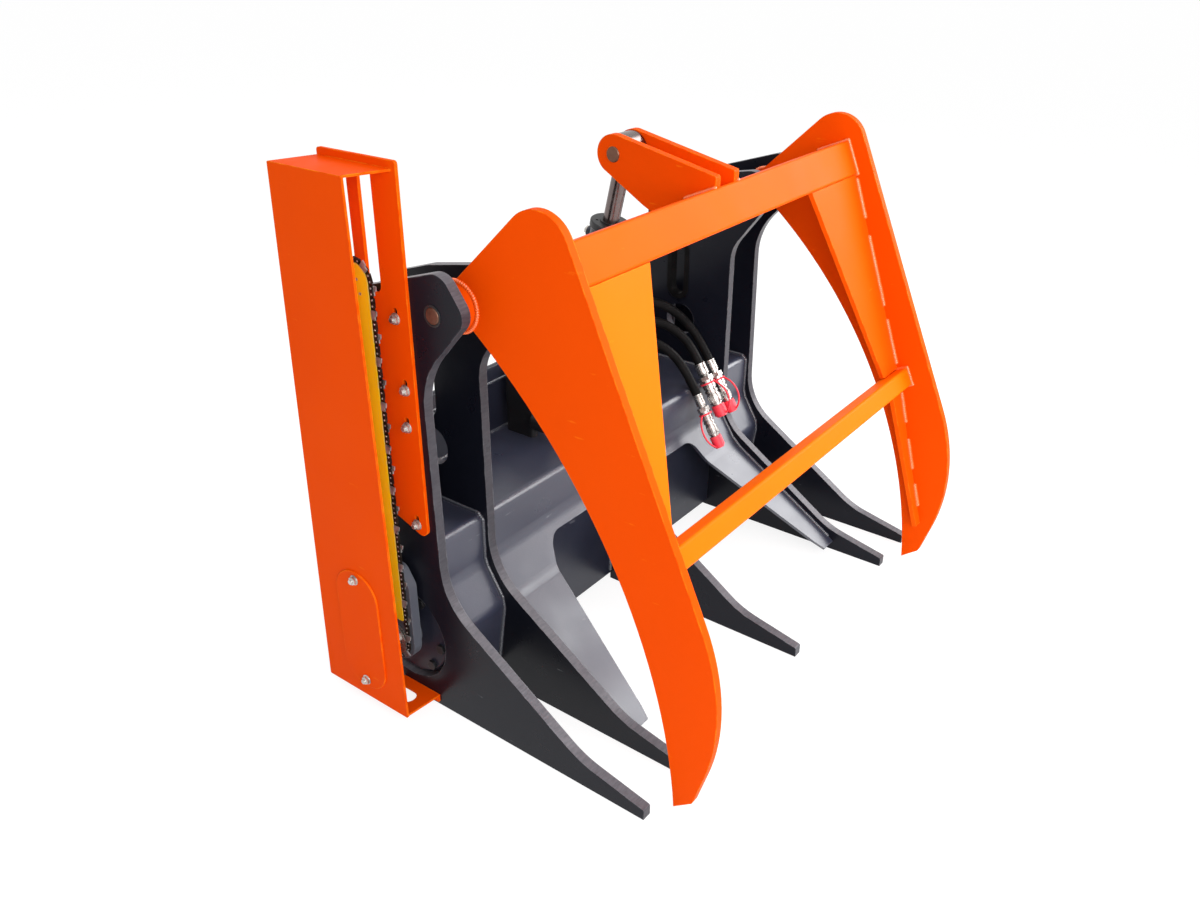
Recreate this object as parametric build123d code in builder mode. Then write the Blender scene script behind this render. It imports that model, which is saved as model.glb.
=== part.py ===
"""Log grapple with a swinging saw, for a loader's quick coupler.

Side outlines are measured rearward from the tine tips and up from the floor, in mm.
The part's origin is the middle of the attach plate's rear face; front is -Y.
"""

import os
from math import atan2, cos, degrees, hypot, pi, radians, sin, tan

from build123d import *

# Overall layout across the width
TINE_T = 20.0
OUTER_TINE_X = 575.3
TINE_PITCH = 130.6
INNER_TINE_X = OUTER_TINE_X - TINE_PITCH
CENTRE_HALF_W = INNER_TINE_X - TINE_T
BAY_W = TINE_PITCH - TINE_T
FIT = 0.05
PIN_PROUD = 2.0
PIN_CHAMFER = 1.5
HEX_RATIO = 1.8

# Attach plate
ATTACH_REAR = 715.0
ATTACH_T = 10.0
ATTACH_BOTTOM = 95.0
ATTACH_TOP = 508.0
ATTACH_INSET = 10.3
ATTACH_HALF_W = OUTER_TINE_X - ATTACH_INSET
ATTACH_MID = (ATTACH_BOTTOM + ATTACH_TOP) / 2
ATTACH_FRONT = ATTACH_REAR - ATTACH_T
HOOK_RISE = 32.0
HOOK_REACH = 60.0
HOOK_DROP = 14.0
HOOK_LEAN = 8.0
HOOK_EDGE_R = 6.0
HOOK_ROOT_R = 3.0
HOOK_HOLLOW = 16.0
LIP_DEPTH = 75.0
LIP_T = 12.0
LIP_CORNER_R = 18.0
LOCK_X = 376.0
LOCK_Y = 41.5
LOCK_SLOT = (60.0, 28.0)

# Tines
TINE_FRONT = 466.0
TINE_TIP_H = 22.0
TINE_TIP_R = 4.0
TINE_KNEE = (145.0, 54.0)
TINE_KNEE_R = 190.0
TINE_BEND_Z = 266.0
TINE_BEND_R = 138.0
OUTER_NECK = (474.0, 720.0, 150.0)
INNER_NECK = (466.0, 708.0, 90.0)
TINE_CORNER_R = 30.0
TINE_REAR_TOP = 826.0
CENTRE_TINE_TOP = 240.0
CENTRE_TINE_HEAD = 426.0
CENTRE_TINE_R = 12.0
JAW_PIN = (435.0, 842.0)
JAW_PIN_R = 15.0
EAR_FRONT = (-75.0, 6.0)
EAR_R = 32.0
EAR_TOP_Y = -23.0
OUTER_EAR_TOP = 77.5
INNER_EAR_TOP = 57.0
EAR_TOP_R = 36.0
INNER_BREAK = (575.0, 868.0, 80.0)
HOSE_SLOT = (612.0, 632.0)
HOSE_SLOT_SIZE = (140.0, 56.0)
HOSE_HOLE = (601.0, 503.0)
HOSE_HOLE_R = 40.0

# Folded sheets
SHEET_T = 10.0
SHEET_BEND_R = 14.0
BEAM_TOP = 390.0
BEAM_FRONT = 478.0
FOLD_TWO = (474.0, 292.0)
FOLD_THREE = (422.0, 212.0)
LEG_END = (126.0, 24.0)
CUT_TOP = 267.0
LEG_ROOT_W = 156.7
CUT_HALF_W = CENTRE_HALF_W - LEG_ROOT_W
CUT_CORNER_R = 40.0
LEG_TIP_W = 53.7
LEG_TIP_HALF_W = CENTRE_HALF_W - LEG_TIP_W
LEG_TIP_H = 38.0
LEG_TIP_R = 20.0
LEG_TIP_FLARE = 25.0
WIDE_BEND_R = 56.0
BAY_BEND_R = 42.0
BAY_KNEE_R = 28.0
BAY_FOLD_TWO = (479.0, 285.0)
BAY_FOLD_THREE = (431.0, 206.0)
BAY_END = (455.0, 49.0)
INNER_PLATE_Y = 494.0
INNER_PLATE_BOTTOM = 15.0

# Jaw
JAW_PLATE_INSET = 58.3
JAW_PLATE_X = OUTER_TINE_X - JAW_PLATE_INSET
JAW_PLATE_T = 16.0
JAW_END_R = 34.0
JAW_APEX = (239.7, 1075.4)
JAW_BULGE = (-128.6, 257.9)
JAW_TOE = ((-62.0, 30.0), (-24.0, 0.0))
JAW_TOE_R = 8.0
JAW_INNER_MID = (76.6, 385.4)
JAW_NECK = ((23.6, 24.5), (-2.0, -12.6))
JAW_APEX_R = 65.0
JAW_BULGE_R = 440.0
BOSS_R = 31.0
BOSS_GAP = 0.5
BOSS_COLLAR = 13.0
UPPER_TUBE = (252.4, 926.6)
UPPER_TUBE_W = 75.0
UPPER_TUBE_TILT = 23.5
LOWER_TUBE = (40.4, 463.5)
LOWER_TUBE_W = 42.0
LOWER_TUBE_TILT = 26.0
TUBE_WALL = 5.0
TUBE_INNER_R = 1.0
RIB_T = 10.0
RIB_GAP = 0.8
UPPER_RIB_W = (209.0, 73.0)
LOWER_RIB_W = (46.0, 23.0)
LOWER_RIB_BOTTOM = (-56.0, 108.0)

# Lugs and cylinder
LUG_INNER_X = 25.0
LUG_T = 16.0
LUG_R = 38.0
LUG_FRONT_H = 21.0
LUG_FRONT_R = 5.0
LUG_UNDER = (-86.0, -95.0)
LUG_UNDER_R = 150.0
ROD_PIN = (470.0, 1005.0)
ROD_PIN_R = 15.0
BASE_PIN = (605.0, 440.0)
BASE_PIN_R = 15.0
CHEEK_INNER_X = 27.0
CHEEK_T = 12.0
CHEEK_FOOT = 46.0
CHEEK_SHOULDER = 4.0
CHEEK_R = 6.0
EYE_R = 28.0
EYE_HALF_W = 25.0
BARREL_R = 38.0
BORE_R = 31.5
BARREL_FROM = 33.0
BARREL_TO = 418.0
BORE_FROM = 52.0
GLAND_LENGTH = 30.0
GLAND_HEAD = 14.0
GLAND_R = 42.0
ROD_R = 17.0
ROD_EYE_R = 36.0
ROD_EYE_HALF_W = 23.0
ROD_EYE_PLAY = 8.0
PISTON_LENGTH = 40.0
PISTON_REST_GAP = 4.0
PISTON_CHAMFER = 2.0
GLAND_CHAMFER = 2.0
ROD_INTO_EYE = 10.0
EYE_STEM = 45.0
BARREL_PORTS = (80.0, 392.0)
BARREL_PORT_R = 12.0
BARREL_PORT_H = 10.0
BARREL_PORT_BORE = 7.0
GLAND_HOLE_R = 3.0
GLAND_HOLE_CIRCLE = 29.0
GLAND_HOLE_DEPTH = 8.0

# Saw guard
GUARD_REACH = 84.7
GUARD_X = OUTER_TINE_X + GUARD_REACH
GUARD_T = 4.0
GUARD_TOP = 1070.0
GUARD_BOTTOM = 21.0
GUARD_CORNERS = ((697.0, GUARD_TOP), (519.0, GUARD_TOP), (503.0, GUARD_BOTTOM), (731.0, GUARD_BOTTOM))
STRIP_T = 6.0
STRIP_FRONT = 486.0
STRIP_REAR = 604.0
STRIP_BOTTOM = 396.0
STRIP_RISE = 13.0
STRIP_TOP = GUARD_TOP + STRIP_RISE
GUARD_WALL_INSET = 3.0
GUARD_TOP_SKEW = (27.0, 24.0)
GUARD_BOTTOM_SKEW = (134.0, 4.0)
GUARD_SKIRT = 14.0
GUARD_CORNER_R = 3.0
STRIP_HOOD = 66.0
STRIP_STEP = 44.0
STRIP_CORNER_R = 16.0
STRIP_HOOD_R = 6.0
STRIP_SLOT_Y = (545.5, 577.0)
STRIP_SLOT_BOTTOM = 858.0
STRIP_SLOT_R = 15.0
CHIP_SLOT_Y = 572.0
CHIP_SLOT = (84.0, 36.0)
GUARD_BOLTS = ((517.0, 821.0), (509.0, 693.0), (513.0, 621.0), (511.0, 423.0))
GUARD_BOLT_R = 5.0
GUARD_BOLT_SLOT = 14.0
BOLT_HEAD_H = 6.0
WASHER_T = 1.6
WASHER_RATIO = 2.1
STUD_END = 4.0
COVER_MID = (610.0, 185.0)
COVER_HALF_W = 57.0
COVER_T = 3.0
COVER_BOLT_SPAN = 238.0
COVER_BOLT_EDGE = 18.0
COVER_LENGTH = COVER_BOLT_SPAN + 2 * COVER_BOLT_EDGE
COVER_CHAMFER = 1.2
COVER_STUD_R = 5.0

# Saw drive
SAW_AXIS = (577.0, 150.0)
BAR_STANDOFF = 31.7
BAR_X = OUTER_TINE_X + BAR_STANDOFF
BAR_T = 5.0
BAR_HALF_W = 32.0
BAR_NOSE_Z = 882.0
BAR_ROOT_Z = 204.0
GROOVE_W = 2.2
GROOVE_DEPTH = 8.0
PITCH_OFFSET = 6.0
LINK_PAIRS = 82
LINK_T = 1.6
LINK_END = 3.0
MOTOR_HOLE_R = 105.0
RING_R = 118.0
RING_T = 10.0
FLANGE_R = 99.0
FLANGE_INSET = 9.3
FLANGE_FACE_X = OUTER_TINE_X - FLANGE_INSET
MOTOR_BOLT_R = 6.0
MOTOR_BOLT_CIRCLE = 86.0
MOTOR_R = 62.0
MOTOR_LENGTH = 84.3
MOTOR_COLLAR = (12.0, 16.0)
MOTOR_END_R = 10.0
PORT_BLOCK = (70.0, 44.0)
PORT_BLOCK_X = (30.0, 38.0)
PORT_R = 12.0
PORT_H = 14.0
PORT_SPREAD = 17.0
RING_EDGE_R = 5.0
MOTOR_BOLT_ANGLES = (117, 189, 229, 301, 13, 65)
PIVOT_R = 32.0
SHAFT_R = 12.0
HOLDER_GAP = 7.2
HOLDER_X = OUTER_TINE_X + HOLDER_GAP
HOLDER_T = 20.0
HOLDER_HALF_W = 48.0
HOLDER_TOP = 322.0
HOLDER_SHOULDER = 36.0
HOLDER_HEAD_HALF_W = 26.0
HOLDER_R = (26.0, 18.0)
HOLDER_PAD_INSET = 10.0
HOLDER_PAD_R = 8.0
SHAFT_GAP = 1.0
BAR_ROOT_R = 6.0
BAR_NUT_H = 7.0
BAR_NUT_RISE = (88.0, 138.0)
RIM_R = 33.0
RIM_HALF_T = 3.8
RIM_SLOT_HALF_W = 1.2
RIM_SLOT_DEPTH = 9.0
RIM_HOLE_R = 3.5
RIM_HOLE_CIRCLE = 18.5
RIM_NUT_R = 13.0
RIM_NUT_H = 9.0
BAR_NUT_R = 6.0

# Hydraulics
VALVE_X = (-139.0, -115.0)
VALVE_Y = (612.0, 690.0)
VALVE_TOP = 534.0
VALVE_R = 9.0
COIL_R = 22.0
COIL_L = 46.0
COIL_EDGE_R = 6.0
COIL_Z = (430.0, 490.0)
HOSE_R = 11.0
FITTING_LENGTH = 22.0
FITTING_WALL = 2.0
HOSE_ROUTES = {
    "a": (
        (-93, 676, 450), (-45, 676, 450), (12, 664, 466), (62, 638, 494), (116, 604, 524),
        (176, 577, 532), (231, 550, 517), (268, 518, 482), (285, 485, 432), (285, 454, 381),
    ),
    "b": (
        (-93, 676, 482), (-40, 676, 482), (20, 666, 501), (74, 642, 529), (130, 619, 549), (188, 598, 559),
        (243, 582, 559), (285, 560, 544), (316, 534, 516), (333, 505, 478), (333, 481, 439),
    ),
    "c": (
        (-93, 676, 514), (-28, 676, 514), (42, 666, 538), (107, 648, 577), (176, 622, 602),
        (243, 598, 605), (306, 576, 583), (354, 548, 540), (378, 512, 484), (378, 480, 433.5),
    ),
}
COUPLER_SCALE = {"a": 0.9, "b": 1.1, "c": 1.0}
COUPLER_HEX = (30, 40, 16.5)
COUPLER_COLLAR = (40, 62, 14.5)
COUPLER_NOSE = (102, 128, 11)
COUPLER_STEPS = (
    (0, 24, 12.5), (24, 30, 10), COUPLER_COLLAR, (62, 66, 12), (66, 72, 15), (72, 76, 12.5), (76, 102, 14),
    COUPLER_NOSE,
)
CAP_FROM = 106.0
CAP_TO = 136.0
CAP_WALL = 4.5
CAP_TIP = (4.0, 3.5)
CAP_RING = (6.0, 4.0, 3.0)
STRAP_R = 2.2
STRAP_BULGE = 22.0
STRAP_SIDE = {"a": 180.0, "b": 90.0, "c": 90.0}

os.makedirs("parts", exist_ok=True)


def place(y, z):
    """Part-frame (Y, Z) of a point measured from the tine tips and the floor."""
    return (y - ATTACH_REAR, z - ATTACH_MID)


def side_plane(x):
    """The side-view plane at a given X: sketch x is Y and sketch y is Z."""
    return Plane.YZ.offset(x)


def outline(*corners):
    """A side-view face from corners (y, z, corner radius)."""
    with BuildSketch() as face:
        with BuildLine():
            FilletPolyline(
                *[place(y, z) for y, z, _ in corners],
                radius=[radius for _, _, radius in corners],
                close=True,
            )
        make_face()
    return face.sketch


def folded(*points, thickness, radius):
    """A folded sheet's section: the outer line of the sheet, thickened inward."""
    with BuildSketch() as face:
        with BuildLine():
            FilletPolyline(*[place(y, z) for y, z in points], radius=radius)
            offset(amount=thickness, side=Side.LEFT)
        make_face()
    return face.sketch


def bar_along_x(x_from, x_to, centre, radius):
    """A round bar along X between two X values."""
    with BuildPart() as bar:
        with BuildSketch(side_plane(x_from)):
            with Locations(place(*centre)):
                Circle(radius)
        extrude(amount=x_to - x_from)
    return bar.part


def hinge_pin(x_from, x_to, centre, radius):
    """A round pin along X with chamfered ends."""
    with BuildPart() as pin:
        add(bar_along_x(x_from, x_to, centre, radius))
        chamfer(pin.edges().filter_by(GeomType.CIRCLE), length=PIN_CHAMFER)
    return pin


def hex_bolts(x_head, points, radius, head_height, shank):
    """Hex bolts along +X, heads on the -X side of x_head, with shanks of the given length."""
    with BuildPart() as bolts:
        with BuildSketch(side_plane(x_head - head_height)):
            with Locations(*[place(*point) for point in points]):
                RegularPolygon(radius * HEX_RATIO, 6)
        extrude(amount=head_height)
        with BuildSketch(side_plane(x_head)):
            with Locations(*[place(*point) for point in points]):
                Circle(radius)
        extrude(amount=shank)
    return bolts


def nuts_on_studs(x_face, points, radius, shank):
    """Studs along X through a face, each with a washer and a nut on the face's -X side."""
    nut_x = x_face - WASHER_T
    end_x = nut_x - BOLT_HEAD_H - STUD_END
    with BuildPart() as nuts:
        with BuildSketch(side_plane(nut_x)):
            with Locations(*[place(*point) for point in points]):
                Circle(radius * WASHER_RATIO)
        extrude(amount=WASHER_T)
        add(hex_bolts(nut_x, points, radius, BOLT_HEAD_H, WASHER_T + shank).part)
        with BuildSketch(side_plane(end_x)):
            with Locations(*[place(*point) for point in points]):
                Circle(radius)
        extrude(amount=STUD_END)
    return nuts


def axis_plane(origin, toward):
    """A plane at a side-view point whose normal points along a side-view direction."""
    y, z = place(*origin)
    return Plane(origin=(0, y, z), x_dir=(1, 0, 0), z_dir=(0, toward[0], toward[1]))


def finish(builder, name):
    """Label a finished piece and write it."""
    builder.part.label = name
    export_step(builder.part, f"parts/{name}.step")


# Tines
def tine_face(neck, top):
    """Outline of a tine from its neck corner and the corners of its top edge."""
    with BuildSketch() as face:
        add(
            outline(
                (0, 0, 0),
                (0, TINE_TIP_H, TINE_TIP_R),
                (*TINE_KNEE, TINE_KNEE_R),
                (TINE_FRONT, TINE_BEND_Z, TINE_BEND_R),
                neck,
                (JAW_PIN[0] + EAR_FRONT[0], JAW_PIN[1] + EAR_FRONT[1], EAR_R),
                *top,
                (ATTACH_FRONT, TINE_REAR_TOP, TINE_CORNER_R),
                (ATTACH_FRONT, 0, TINE_CORNER_R),
            )
        )
        with Locations(place(*JAW_PIN)):
            Circle(JAW_PIN_R + FIT, mode=Mode.SUBTRACT)
    return face.sketch


def outer_tine_face():
    return tine_face(OUTER_NECK, [(JAW_PIN[0] + EAR_TOP_Y, JAW_PIN[1] + OUTER_EAR_TOP, EAR_TOP_R)])


def inner_tine_face():
    ear_top = (JAW_PIN[0] + EAR_TOP_Y, JAW_PIN[1] + INNER_EAR_TOP, EAR_TOP_R)
    with BuildSketch() as face:
        add(tine_face(INNER_NECK, [ear_top, INNER_BREAK]))
        with Locations(Location(place(*HOSE_SLOT), 90)):
            SlotOverall(*HOSE_SLOT_SIZE, mode=Mode.SUBTRACT)
        with Locations(place(*HOSE_HOLE)):
            Circle(HOSE_HOLE_R, mode=Mode.SUBTRACT)
    return face.sketch


with BuildPart() as tine_left_outer:
    with BuildSketch(side_plane(-OUTER_TINE_X)):
        add(outer_tine_face())
        with Locations(place(*SAW_AXIS)):
            Circle(MOTOR_HOLE_R, mode=Mode.SUBTRACT)
        with Locations(*[place(*bolt) for bolt in GUARD_BOLTS]):
            Circle(GUARD_BOLT_R + FIT, mode=Mode.SUBTRACT)
    extrude(amount=TINE_T)
finish(tine_left_outer, "tine_left_outer")

with BuildPart() as tine_left_inner:
    with BuildSketch(side_plane(-INNER_TINE_X)):
        add(inner_tine_face())
    extrude(amount=TINE_T)
finish(tine_left_inner, "tine_left_inner")

with BuildPart() as tine_centre:
    with BuildSketch(side_plane(0)):
        add(
            outline(
                (0, 0, 0),
                (0, TINE_TIP_H, TINE_TIP_R),
                (*TINE_KNEE, TINE_KNEE_R),
                (CENTRE_TINE_HEAD, CENTRE_TINE_TOP, CENTRE_TINE_R),
                (INNER_PLATE_Y, CENTRE_TINE_TOP, 0),
                (INNER_PLATE_Y, 0, 0),
            )
        )
    extrude(amount=TINE_T / 2, both=True)
finish(tine_centre, "tine_centre")

with BuildPart() as tine_right_inner:
    with BuildSketch(side_plane(INNER_TINE_X - TINE_T)):
        add(inner_tine_face())
    extrude(amount=TINE_T)
finish(tine_right_inner, "tine_right_inner")

with BuildPart() as tine_right_outer:
    with BuildSketch(side_plane(OUTER_TINE_X - TINE_T)):
        add(outer_tine_face())
    extrude(amount=TINE_T)
finish(tine_right_outer, "tine_right_outer")

# Folded sheets of the frame
with BuildPart() as front_sheet:
    with BuildSketch(side_plane(0)):
        add(
            folded(
                (ATTACH_FRONT, BEAM_TOP),
                (BEAM_FRONT, BEAM_TOP),
                FOLD_TWO,
                FOLD_THREE,
                LEG_END,
                thickness=SHEET_T,
                radius=[SHEET_BEND_R, WIDE_BEND_R, WIDE_BEND_R],
            )
        )
    extrude(amount=CENTRE_HALF_W, both=True)
    with BuildSketch(Plane.XZ.offset(ATTACH_REAR)):
        with BuildLine():
            FilletPolyline(
                (-CUT_HALF_W, CUT_TOP - ATTACH_MID),
                (CUT_HALF_W, CUT_TOP - ATTACH_MID),
                (LEG_TIP_HALF_W, LEG_TIP_H - ATTACH_MID),
                (LEG_TIP_HALF_W + LEG_TIP_FLARE, -ATTACH_MID),
                (-LEG_TIP_HALF_W - LEG_TIP_FLARE, -ATTACH_MID),
                (-LEG_TIP_HALF_W, LEG_TIP_H - ATTACH_MID),
                radius=[CUT_CORNER_R, CUT_CORNER_R, LEG_TIP_R, 0, 0, LEG_TIP_R],
                close=True,
            )
        make_face()
    extrude(amount=-ATTACH_REAR, mode=Mode.SUBTRACT)
finish(front_sheet, "front_sheet")


def bay_face():
    return folded(
        (ATTACH_FRONT, BEAM_TOP),
        (BEAM_FRONT, BEAM_TOP),
        BAY_FOLD_TWO,
        BAY_FOLD_THREE,
        BAY_END,
        thickness=SHEET_T,
        radius=[SHEET_BEND_R, BAY_BEND_R, BAY_KNEE_R],
    )


with BuildPart() as bay_sheet_left:
    with BuildSketch(side_plane(-INNER_TINE_X)):
        add(bay_face())
    extrude(amount=-BAY_W)
finish(bay_sheet_left, "bay_sheet_left")

with BuildPart() as bay_sheet_right:
    with BuildSketch(side_plane(INNER_TINE_X)):
        add(bay_face())
    extrude(amount=BAY_W)
finish(bay_sheet_right, "bay_sheet_right")

with BuildPart() as inner_plate:
    with BuildSketch(side_plane(0)):
        add(
            outline(
                (INNER_PLATE_Y, INNER_PLATE_BOTTOM, 0),
                (INNER_PLATE_Y, BEAM_TOP - SHEET_T, 0),
                (INNER_PLATE_Y + SHEET_T, BEAM_TOP - SHEET_T, 0),
                (INNER_PLATE_Y + SHEET_T, INNER_PLATE_BOTTOM, 0),
            )
        )
    extrude(amount=CENTRE_HALF_W, both=True)
finish(inner_plate, "inner_plate")

# Quick coupler interface
with BuildPart() as attach_plate:
    with BuildSketch(side_plane(0)):
        add(
            outline(
                (ATTACH_FRONT, ATTACH_BOTTOM, 0),
                (ATTACH_FRONT, ATTACH_TOP, 0),
                (ATTACH_REAR, ATTACH_TOP, 0),
                (ATTACH_REAR, ATTACH_BOTTOM, 0),
            )
        )
    extrude(amount=ATTACH_HALF_W, both=True)
finish(attach_plate, "attach_plate")

with BuildPart() as hook_bar:
    with BuildSketch(side_plane(0)):
        add(
            outline(
                (ATTACH_FRONT, ATTACH_TOP, 0),
                (ATTACH_FRONT + HOOK_LEAN, ATTACH_TOP + HOOK_RISE, HOOK_EDGE_R),
                (ATTACH_REAR + HOOK_LEAN, ATTACH_TOP + HOOK_RISE, HOOK_EDGE_R),
                (ATTACH_REAR + HOOK_REACH, ATTACH_TOP - HOOK_DROP, 0),
                (ATTACH_REAR + HOOK_REACH - HOOK_LEAN, ATTACH_TOP - HOOK_DROP - HOOK_LEAN, 0),
                (ATTACH_REAR + HOOK_LEAN, ATTACH_TOP + HOOK_HOLLOW, HOOK_ROOT_R),
                (ATTACH_REAR, ATTACH_TOP, 0),
            )
        )
    extrude(amount=ATTACH_HALF_W, both=True)
finish(hook_bar, "hook_bar")

with BuildPart() as lock_lip:
    with BuildSketch(Plane.XY.offset(ATTACH_BOTTOM - LIP_T - ATTACH_MID)):
        with Locations((0, (LIP_DEPTH - ATTACH_T) / 2)):
            Rectangle(2 * ATTACH_HALF_W, LIP_DEPTH + ATTACH_T)
        with Locations((-LOCK_X, LOCK_Y), (LOCK_X, LOCK_Y)):
            SlotOverall(*LOCK_SLOT, mode=Mode.SUBTRACT)
    extrude(amount=LIP_T)
    fillet(lock_lip.edges().filter_by(Axis.Z).group_by(Axis.Y)[-1], radius=LIP_CORNER_R)
finish(lock_lip, "lock_lip")

# Jaw hinge pins, fixed in the tines
PIN_OUTER_X = OUTER_TINE_X + PIN_PROUD
PIN_INNER_X = INNER_TINE_X - TINE_T - PIN_PROUD
finish(hinge_pin(-PIN_OUTER_X, -PIN_INNER_X, JAW_PIN, JAW_PIN_R), "jaw_pin_left")
finish(hinge_pin(PIN_INNER_X, PIN_OUTER_X, JAW_PIN, JAW_PIN_R), "jaw_pin_right")


# Jaw
def jaw_face():
    """Outline of a jaw plate, from the hinge over the apex and the bulge to the toe and back."""
    hinge_top, hinge_bottom = [place(JAW_PIN[0] + y, JAW_PIN[1] + z) for y, z in JAW_NECK]
    toe_front, toe_back = [place(*corner) for corner in JAW_TOE]
    with BuildSketch() as face:
        with BuildLine():
            FilletPolyline(
                hinge_top,
                place(*JAW_APEX),
                place(*JAW_BULGE),
                toe_front,
                toe_back,
                radius=[JAW_APEX_R, JAW_BULGE_R, JAW_TOE_R],
            )
            ThreePointArc(toe_back, place(*JAW_INNER_MID), hinge_bottom)
            Line(hinge_bottom, hinge_top)
        make_face()
        with Locations(place(*JAW_PIN)):
            Circle(JAW_END_R)
            Circle(BOSS_R + FIT, mode=Mode.SUBTRACT)
    return face.sketch


JAW_INNER_X = JAW_PLATE_X - JAW_PLATE_T

with BuildPart() as jaw_plate_left:
    with BuildSketch(side_plane(-JAW_PLATE_X)):
        add(jaw_face())
    extrude(amount=JAW_PLATE_T)
finish(jaw_plate_left, "jaw_plate_left")

with BuildPart() as jaw_plate_right:
    with BuildSketch(side_plane(JAW_INNER_X)):
        add(jaw_face())
    extrude(amount=JAW_PLATE_T)
finish(jaw_plate_right, "jaw_plate_right")

for side, sign in (("left", -1), ("right", 1)):
    x_from = sign * (INNER_TINE_X + BOSS_GAP)
    x_to = sign * (OUTER_TINE_X - TINE_T - BOSS_GAP)
    with BuildPart() as hinge_boss:
        add(bar_along_x(x_from, x_to, JAW_PIN, BOSS_R))
        with BuildSketch(side_plane(sign * JAW_PLATE_X)):
            with Locations(place(*JAW_PIN)):
                Circle(BOSS_R + BOSS_COLLAR)
        extrude(amount=sign * BOSS_COLLAR, taper=45)
        add(bar_along_x(x_from, x_to, JAW_PIN, JAW_PIN_R + FIT), mode=Mode.SUBTRACT)
    finish(hinge_boss, f"hinge_boss_{side}")


def tube_plane(centre, tilt, x):
    """Section plane of a cross tube: its sketch x axis points rearward, leaning down by tilt."""
    y, z = place(*centre)
    return Plane(
        origin=(x, y, z), x_dir=(0, cos(radians(tilt)), -sin(radians(tilt))), z_dir=(1, 0, 0)
    )


for name, centre, tilt, width in (
    ("upper_tube", UPPER_TUBE, UPPER_TUBE_TILT, UPPER_TUBE_W),
    ("lower_tube", LOWER_TUBE, LOWER_TUBE_TILT, LOWER_TUBE_W),
):
    with BuildPart() as cross_tube:
        with BuildSketch(tube_plane(centre, tilt, -JAW_INNER_X)):
            RectangleRounded(width, width, TUBE_WALL + TUBE_INNER_R)
            RectangleRounded(
                width - 2 * TUBE_WALL, width - 2 * TUBE_WALL, TUBE_INNER_R, mode=Mode.SUBTRACT
            )
        extrude(amount=2 * JAW_INNER_X)
    finish(cross_tube, name)


def tube_corner(centre, tilt, width, across, along):
    """Side-view point on a tube's section, in half widths rearward and up from its centre."""
    c, s = cos(radians(tilt)), sin(radians(tilt))
    across, along = across * width / 2, along * width / 2
    return (centre[0] + across * c + along * s, centre[1] - across * s + along * c)


def rib_plane(top, bottom):
    """Plane of a rib's front face: sketch x is X, sketch y runs up the rib from its bottom."""
    y, z = place(*bottom)
    rise = (top[0] - bottom[0], top[1] - bottom[1])
    return Plane(origin=(0, y, z), x_dir=(1, 0, 0), z_dir=(0, -rise[1], rise[0]))


UPPER_RIB_TOP = tube_corner(UPPER_TUBE, UPPER_TUBE_TILT, UPPER_TUBE_W + 2 * RIB_GAP, -0.86, -1)
UPPER_RIB_BOTTOM = tube_corner(LOWER_TUBE, LOWER_TUBE_TILT, LOWER_TUBE_W + 2 * RIB_GAP, 0.15, 1.08)
LOWER_RIB_TOP = tube_corner(LOWER_TUBE, LOWER_TUBE_TILT, LOWER_TUBE_W + 2 * RIB_GAP, 0.45, -1.06)
for name, top, bottom, (top_w, bottom_w) in (
    ("upper_rib", UPPER_RIB_TOP, UPPER_RIB_BOTTOM, UPPER_RIB_W),
    ("lower_rib", LOWER_RIB_TOP, LOWER_RIB_BOTTOM, LOWER_RIB_W),
):
    for side, sign in (("left", -1), ("right", 1)):
        length = hypot(top[0] - bottom[0], top[1] - bottom[1])
        with BuildPart() as rib:
            with BuildSketch(rib_plane(top, bottom)):
                with BuildLine():
                    Polyline(
                        (sign * JAW_INNER_X, 0),
                        (sign * (JAW_INNER_X - bottom_w), 0),
                        (sign * (JAW_INNER_X - top_w), length),
                        (sign * JAW_INNER_X, length),
                        close=True,
                    )
                make_face()
            extrude(amount=-RIB_T)
        finish(rib, f"{name}_{side}")

# Lugs that carry the cylinder's rod pin
TUBE_TOP_FRONT = tube_corner(UPPER_TUBE, UPPER_TUBE_TILT, UPPER_TUBE_W, -0.84, 1)
TUBE_TOP_REAR = tube_corner(UPPER_TUBE, UPPER_TUBE_TILT, UPPER_TUBE_W, 1, 1)
TUBE_BOTTOM_REAR = tube_corner(UPPER_TUBE, UPPER_TUBE_TILT, UPPER_TUBE_W, 1, -0.84)
for side, x_from in (("left", -LUG_INNER_X - LUG_T), ("right", LUG_INNER_X)):
    with BuildPart() as lug:
        with BuildSketch(side_plane(x_from)):
            add(
                outline(
                    (*TUBE_TOP_FRONT, 0),
                    (TUBE_TOP_FRONT[0], TUBE_TOP_FRONT[1] + LUG_FRONT_H, LUG_FRONT_R),
                    (ROD_PIN[0] - 0.18 * LUG_R, ROD_PIN[1] + 0.98 * LUG_R, 0),
                    (ROD_PIN[0] + 0.5 * LUG_R, ROD_PIN[1] - 0.86 * LUG_R, 0),
                    (ROD_PIN[0] + LUG_UNDER[0], ROD_PIN[1] + LUG_UNDER[1], LUG_UNDER_R),
                    (*TUBE_BOTTOM_REAR, 0),
                    (*TUBE_TOP_REAR, 0),
                )
            )
            with Locations(place(*ROD_PIN)):
                Circle(LUG_R)
                Circle(ROD_PIN_R + FIT, mode=Mode.SUBTRACT)
        extrude(amount=LUG_T)
    finish(lug, f"lug_{side}")

ROD_PIN_HALF = LUG_INNER_X + LUG_T + PIN_PROUD
finish(hinge_pin(-ROD_PIN_HALF, ROD_PIN_HALF, ROD_PIN, ROD_PIN_R), "rod_pin")

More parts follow.
